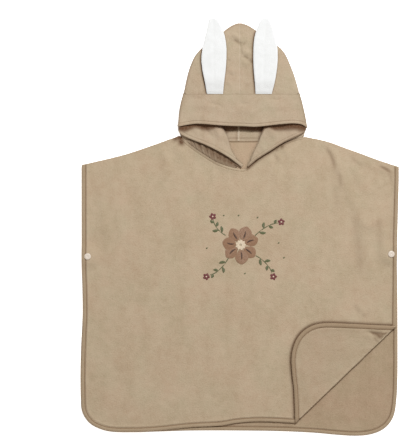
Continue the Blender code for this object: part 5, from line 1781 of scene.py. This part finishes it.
# %% [markdown]
# ## Stitches
# Every hem is held by a row of lock stitches. One stitch is a short capsule; a whole row is one
# mesh, because the capsule's points are turned and moved to all places of the row at once.

# %% Stitches
STITCH_LONG = 2.5
STITCH_PITCH = 3.3
THREAD_R = 0.28
# Off a surface that the stitches lie on: how far their middles sit, and a place above them
TAPE_SEAT = (-0.45, 1.0)
NECK_SEAT = (-0.35, 1.0)
RIM_SEAT = 0.55
CAPSULE = ((-1.0, 0.0), (-0.92, 0.6), (-0.6, 1.0), (0.6, 1.0), (0.92, 0.6), (1.0, 0.0))
CAPSULE_SIDES = 6


def sewing_thread(name, colour, shade):
    """Twisted sewing thread: small lumps along its run."""
    material, wire, shader = new_material(name)
    lump = wire.place().noise(1500.0, 2.0, 0.5)
    finished(shader, lump.between(0.3, 0.7).mixed(colour, shade), 0.6 + lump * 0.2, lump, 0.00006)
    return material


def capsule():
    """A capsule along its own x axis as a grid: rings from one end to the other."""
    t, radius = np.array(CAPSULE).T
    turn = np.arange(CAPSULE_SIDES + 1) * 2 * math.pi / CAPSULE_SIDES
    far = np.repeat(t, CAPSULE_SIDES + 1) * STITCH_LONG / 2
    round_it = [np.outer(radius, wave(turn)).ravel() * THREAD_R for wave in (np.cos, np.sin)]
    return np.stack([far, *round_it], axis=-1)


def stitch_row(name, line, above, material):
    """Capsules along a line in space; the second line gives the way out of the cloth."""
    run = along(line)
    starts = np.arange(1.0, run[-1] - STITCH_LONG, STITCH_PITCH)
    first = at_length(line, starts)
    last = at_length(line, starts + STITCH_LONG)
    lift = np.stack([np.interp(starts + STITCH_LONG / 2, run, (above - line)[:, k]) for k in range(3)], -1)
    ahead = (last - first) / np.linalg.norm(last - first, axis=1)[:, None]
    side = np.cross(lift, ahead)
    side /= np.linalg.norm(side, axis=1)[:, None]
    axes = (ahead, side, np.cross(ahead, side))
    local = capsule()
    points = ((first + last) / 2)[:, None]
    for k, axis in enumerate(axes):
        points = points + local[None, :, k : k + 1] * axis[:, None]
    one = grid_faces(len(CAPSULE), CAPSULE_SIDES + 1)
    faces = (one[None] + (np.arange(len(starts)) * len(local))[:, None, None]).reshape(-1, 4)
    flat = points.reshape(-1, 3)
    thing = mesh_object(name, flat, faces, flat[:, :2], material)
    merge_points(thing.data, 0.01)
    face_outwards(thing.data)
    print(f"{name}: {len(starts)} stitches")
    return thing


thread = sewing_thread("sewing_thread", linear(168, 144, 116), linear(148, 124, 96))
stitch_rows = []
for name, edge, place in (("back", back_edge, back_place), ("front", front_edge, front_place)):
    run = moved(edge, STITCH_IN)
    for face, way in (("top", 1), ("under", -1)):
        seat, above = (place(run, way * np.full(len(run), TAPE_OUT + off)) for off in TAPE_SEAT)
        stitch_rows.append(stitch_row(f"stitches_{name}_{face}", seat, above, thread))
run = spaced(moved(front_neck, -NECK_STITCH), FINE)[2:-2]
stitch_rows.append(stitch_row("stitches_neck", *(on_front(run, off) for off in NECK_SEAT), thread))


def rim_stitches(name, rim, sign, height, *sides):
    """A row of stitches beside a rim of the brim band, on the height that a function gives."""
    run = spaced(moved(rim, sign * RIM_STITCH), FINE)[2:-2]
    seat = np.column_stack([run, height(run, *sides) + RIM_SEAT])
    return stitch_row(f"stitches_rim_{name}", seat, seat + (0, 0, 1), thread)


stitch_rows.append(rim_stitches("top", rim_top, 1, band_height))
for name, (side, sign, rim, roll) in LAPELS.items():
    stitch_rows.append(rim_stitches(name, rim, sign, lapel_height, side, sign, rim, roll))

# %% [markdown]
# ## Ears
# Each ear is two layers of white plush, sewn round the edge and turned, so it is plump in the
# middle with a fine seam at its edge and a soft crease down its length. A grid runs from its foot
# to its tip and from side to side; half the thickness goes to each side of its middle.

# %% Ears
EAR_WALL = 4.4
EAR_FOOT_WALL = 1.6
EAR_SOFT_EDGE = 4.2
EAR_TIP_DROP = 2.4
EAR_CELLS = (84, 40)
EAR_LIFT = 2.0
EAR_SINK = 1.6
EAR_CREASE = 0.22
EAR_TIP_ROWS = (0.978, 0.984, 0.989, 0.993, 0.996, 0.998, 0.9994)


def plush(name, colour, shade):
    """Short white pile: almost even in colour, with fine fur in its bump."""
    material, wire, shader = new_material(name)
    cut = wire.cut()
    fur = cut.noise(520.0, 3.0, 0.7)
    lie = cut.noise(60.0, 3.0, 0.6)
    finished(
        shader, (fur * 0.6 + lie * 0.6).between(0.35, 0.95).mixed(shade, colour), 0.9 + fur * 0.1,
        fur * 0.7 + lie * 0.8, 0.0007, Sheen_Weight=0.03, Sheen_Roughness=0.5, Specular_IOR_Level=0.05,
    )
    return material


def ear(name, foot_x, foot_y, tip_x, tip_y, widths, material):
    """One ear, and its flat area: a grid across its width and along its length, on the highest
    line of the crown below it."""
    length = 1 - (1 - np.linspace(0, 1, EAR_CELLS[0])) ** 1.25
    length = np.sort(np.concatenate([length, EAR_TIP_ROWS]))
    low, high = ear_sides(foot_x, foot_y, tip_x, tip_y, widths, length)
    spine = (tip_x - foot_x) * length + foot_x
    t = np.sin(np.linspace(-math.pi / 2, math.pi / 2, EAR_CELLS[1]))[None]
    reach = np.where(t < 0, (spine - low[:, 0])[:, None], (high[:, 0] - spine)[:, None])
    flat = np.stack([spine[:, None] + t * reach, low[:, 1:] + 0 * reach], axis=-1)
    length = length[:, None]

    levels = np.linspace(foot_y, PEAK_Y - 14.0, 14)
    tops = []
    for level in levels:
        row = flat[np.abs(flat[..., 1] - level) < 16.0]
        row = np.column_stack([row[:, 0], np.full(len(row), max(level, BAND_SEAM_Y))])
        tops.append(hood_height(row, hood_left_side, hood_right_side).max())
    levels = np.append(levels, tip_y)
    tops = np.append(tops, tops[-1] - EAR_TIP_DROP)
    wall = EAR_FOOT_WALL + (EAR_WALL - EAR_FOOT_WALL) * smoothstep(length / 0.18)
    middle = np.interp(flat[..., 1], levels, tops) + WALL / 2 + GAP + wall / 2
    middle += EAR_LIFT * ramp(flat[..., 1], foot_y, 30.0)
    middle -= EAR_SINK * (1 - ramp(flat[..., 1], foot_y, 5.0))

    edge = np.vstack([flat[:, 0], flat[-1], flat[::-1, -1]])
    crease = 1 - EAR_CREASE * hump(t * reach + 2.0 - 3.0 * length, 3.4) * smoothstep(length / 0.1)
    lumps = 1 + 0.10 * soft_noise(flat, 15.0, 8) + 0.05 * soft_noise(flat, 6.0, 9)
    share = (wall / EAR_WALL) * round_edge(distance_to(flat, edge[::2]), EAR_SOFT_EDGE, 0.16)
    share = np.clip(share * crease * lumps, 0.1, 1.0)
    thing = cloth(name, [(with_height(flat, middle), flat, share)], material, EAR_WALL)
    return thing, flat_area(flat)


white_plush = plush("white_plush", linear(240, 241, 241), linear(230, 231, 230))
ear_pieces = []
for name, *shape, node in EARS:
    ear_pieces.append((*ear(name, *shape, white_plush), node))

# %% [markdown]
# ## Press snaps
# Each side is held by one press snap: a smooth cap above, a socket and a stud between the
# panels, and a cap below. The caps show, so they are turned again from a finer profile, with a
# rolled rim and a small dimple; the socket and stud keep their solids and take the same plastic.

# %% Press snaps
SNAP_R = 6.2
SNAP_SIDES = 48
CAP_LOW = SNAP_FRONT + BOUND / 2 + GAP
LOW_CAP_HIGH = 1.42
# Profile of a cap from its rim's underside to its middle: radius, height
CAP_PROFILE = (
    (0.0, 0.0), (4.5, 0.0), (5.9, 0.0), (6.12, 0.12), (SNAP_R, 0.38), (6.14, 0.66), (5.9, 0.9),
    (5.4, 1.1), (4.6, 1.28), (3.6, 1.38), (2.4, 1.42), (1.6, 1.38), (1.1, 1.2), (0.7, 1.06), (0.0, 1.02),
)


def snap_plastic(name, colour, deep):
    """Pale resin: even, half gloss, with slight clouding."""
    material, wire, shader = new_material(name)
    cloud = wire.place().noise(700.0, 2.0, 0.5)
    finished(shader, cloud.between(0.3, 0.7).mixed(colour, deep), 0.3 + cloud * 0.12, cloud, 0.00003)
    return material


def turned(name, x, y, z, profile, flip, material):
    """A body turned about an upright axis: the profile's radius and height round the circle."""
    radius, height = curve_through(profile, 0.25).T[..., None]
    radius = np.maximum(radius, 0)
    angle = np.linspace(0, 2 * math.pi, SNAP_SIDES + 1)[None]
    places = [x + radius * np.cos(angle), y + radius * np.sin(angle), z + flip * height + 0 * angle]
    points = np.stack(places, axis=-1)
    flat = points.reshape(-1, 3)
    thing = mesh_object(name, flat, grid_faces(*points.shape[:2]), flat[:, :2], material)
    merge_points(thing.data, 0.005)
    face_outwards(thing.data)
    return thing


resin = snap_plastic("snap_plastic", linear(229, 217, 203), linear(221, 208, 193))
snap_pieces = []
for side, x, y in SNAPS:
    top_cap = turned(f"snap_front_{side}", x, y, CAP_LOW, CAP_PROFILE, 1, resin)
    low_cap = turned(f"snap_back_{side}", x, y, LOW_CAP_HIGH, CAP_PROFILE, -1, resin)
    snap_pieces += [(top_cap, f"snap_cap_front_{side}"), (low_cap, f"snap_cap_back_{side}")]
    for part in ("socket", "stud"):
        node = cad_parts[f"snap_{part}_{side}"]
        node.data.materials.clear()
        node.data.materials.append(resin)
print(len(snap_pieces), "snap caps")

# %% [markdown]
# ## Floor, light and hand-over
# The floor is plain and glows a little, so that it looks white. A lamp beyond the hood throws the
# short shadows of the layers towards the hem, a wider and weaker one at the lower right fills
# them, and a dim warm sky keeps the light soft.


# %% Floor and light
def lamp(name, x, y, z, size, power, colour):
    """A square lamp aimed at the middle of the poncho."""
    light = bpy.data.lights.new(name, "AREA")
    light.shape = "SQUARE"
    light.size = size
    light.energy = power
    light.color = colour
    thing = bpy.data.objects.new(name, light)
    thing.location = (x, y, z)
    tilt = math.acos(z / np.linalg.norm((x, y, z)))
    thing.rotation_euler = (tilt, 0, math.atan2(-y, -x) - math.pi / 2)
    bpy.context.scene.collection.objects.link(thing)


FLOOR_HALF = 15.0
FLOOR_Z = -0.0006
WHITE = (1.0, 1.0, 1.0, 1.0)
PALE_GREY = (0.93, 0.93, 0.93, 1.0)
DAYLIGHT = (0.96, 1.0, 1.04)
WARM_SKY = (1.0, 0.88, 0.76, 1.0)
# Lamps in metres and watts: name, x, y, z, size, power
LAMPS = (("key", 0.6, 2.05, 2.9, 0.56, 102.5), ("side", 2.3, -2.5, 3.2, 1.2, 23.0))

corners = np.array([(-1, -1), (1, -1), (1, 1), (-1, 1)]) * FLOOR_HALF
floor_mesh = bpy.data.meshes.new("floor")
floor_mesh.from_pydata([(x, y, FLOOR_Z) for x, y in corners], [], [(0, 1, 2, 3)])
floor = bpy.data.objects.new("floor", floor_mesh)
bpy.context.scene.collection.objects.link(floor)
floor_paint, _, shader = new_material("pale_floor")
set_even(shader, Base_Color=PALE_GREY, Roughness=0.9, Emission_Color=WHITE, Emission_Strength=0.8)
floor_mesh.materials.append(floor_paint)

for row in LAMPS:
    lamp(*row, DAYLIGHT)
world = bpy.data.worlds.new("soft_sky")
world.use_nodes = True
set_even(world.node_tree.nodes["Background"], Color=WARM_SKY, Strength=0.33)
bpy.context.scene.world = world
bpy.context.scene.view_settings.view_transform = "Standard"
print("floor, two lamps and a sky")

# %% [markdown]
# ## What each piece stands for
# Every new piece rides on the one body, and each cloth sheet and snap cap hides the plain solid
# that it stands for.

# %% Hand-over
# Piece, node, slot, width and length of the cut, how it is held, what it rests on, flat area
SHEETS = (
    (back_piece, "back_panel", "terry", (0.604, 0.568), "laid", [], back_area),
    (front_piece, "front_panel", "terry", (0.604, 0.560), "laid", ["back_terry"], front_area),
    (back_tape, "binding_back", "terry_binding", (0.019, 1.561), "folded", ["back_terry"], None),
    (front_tape, "binding_front", "terry_binding", (0.019, 1.547), "folded", ["front_terry"], None),
    (hood_left, "hood_left", "terry", (0.235, 0.251), "folded", ["back_terry"], hood_left_area),
    (hood_right, "hood_right", "terry", (0.235, 0.251), "folded", ["back_terry"], hood_right_area),
    (band_piece, "hood_band", "terry", (0.540, 0.070), "folded", ["hood_left_terry"], band_area),
    *(
        (thing, node, "white_cloth", (0.049, 0.145), "laid", ["band_terry"], area)
        for thing, area, node in ear_pieces
    ),
)
for thing, node, slot, flat, held, under, area in SHEETS:
    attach(thing, "root")
    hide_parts(node)
    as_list(under)
for thing in embroidery + stitch_rows:
    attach(thing, "root")
for thing, node in snap_pieces:
    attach(thing, "root")
    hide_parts(node)
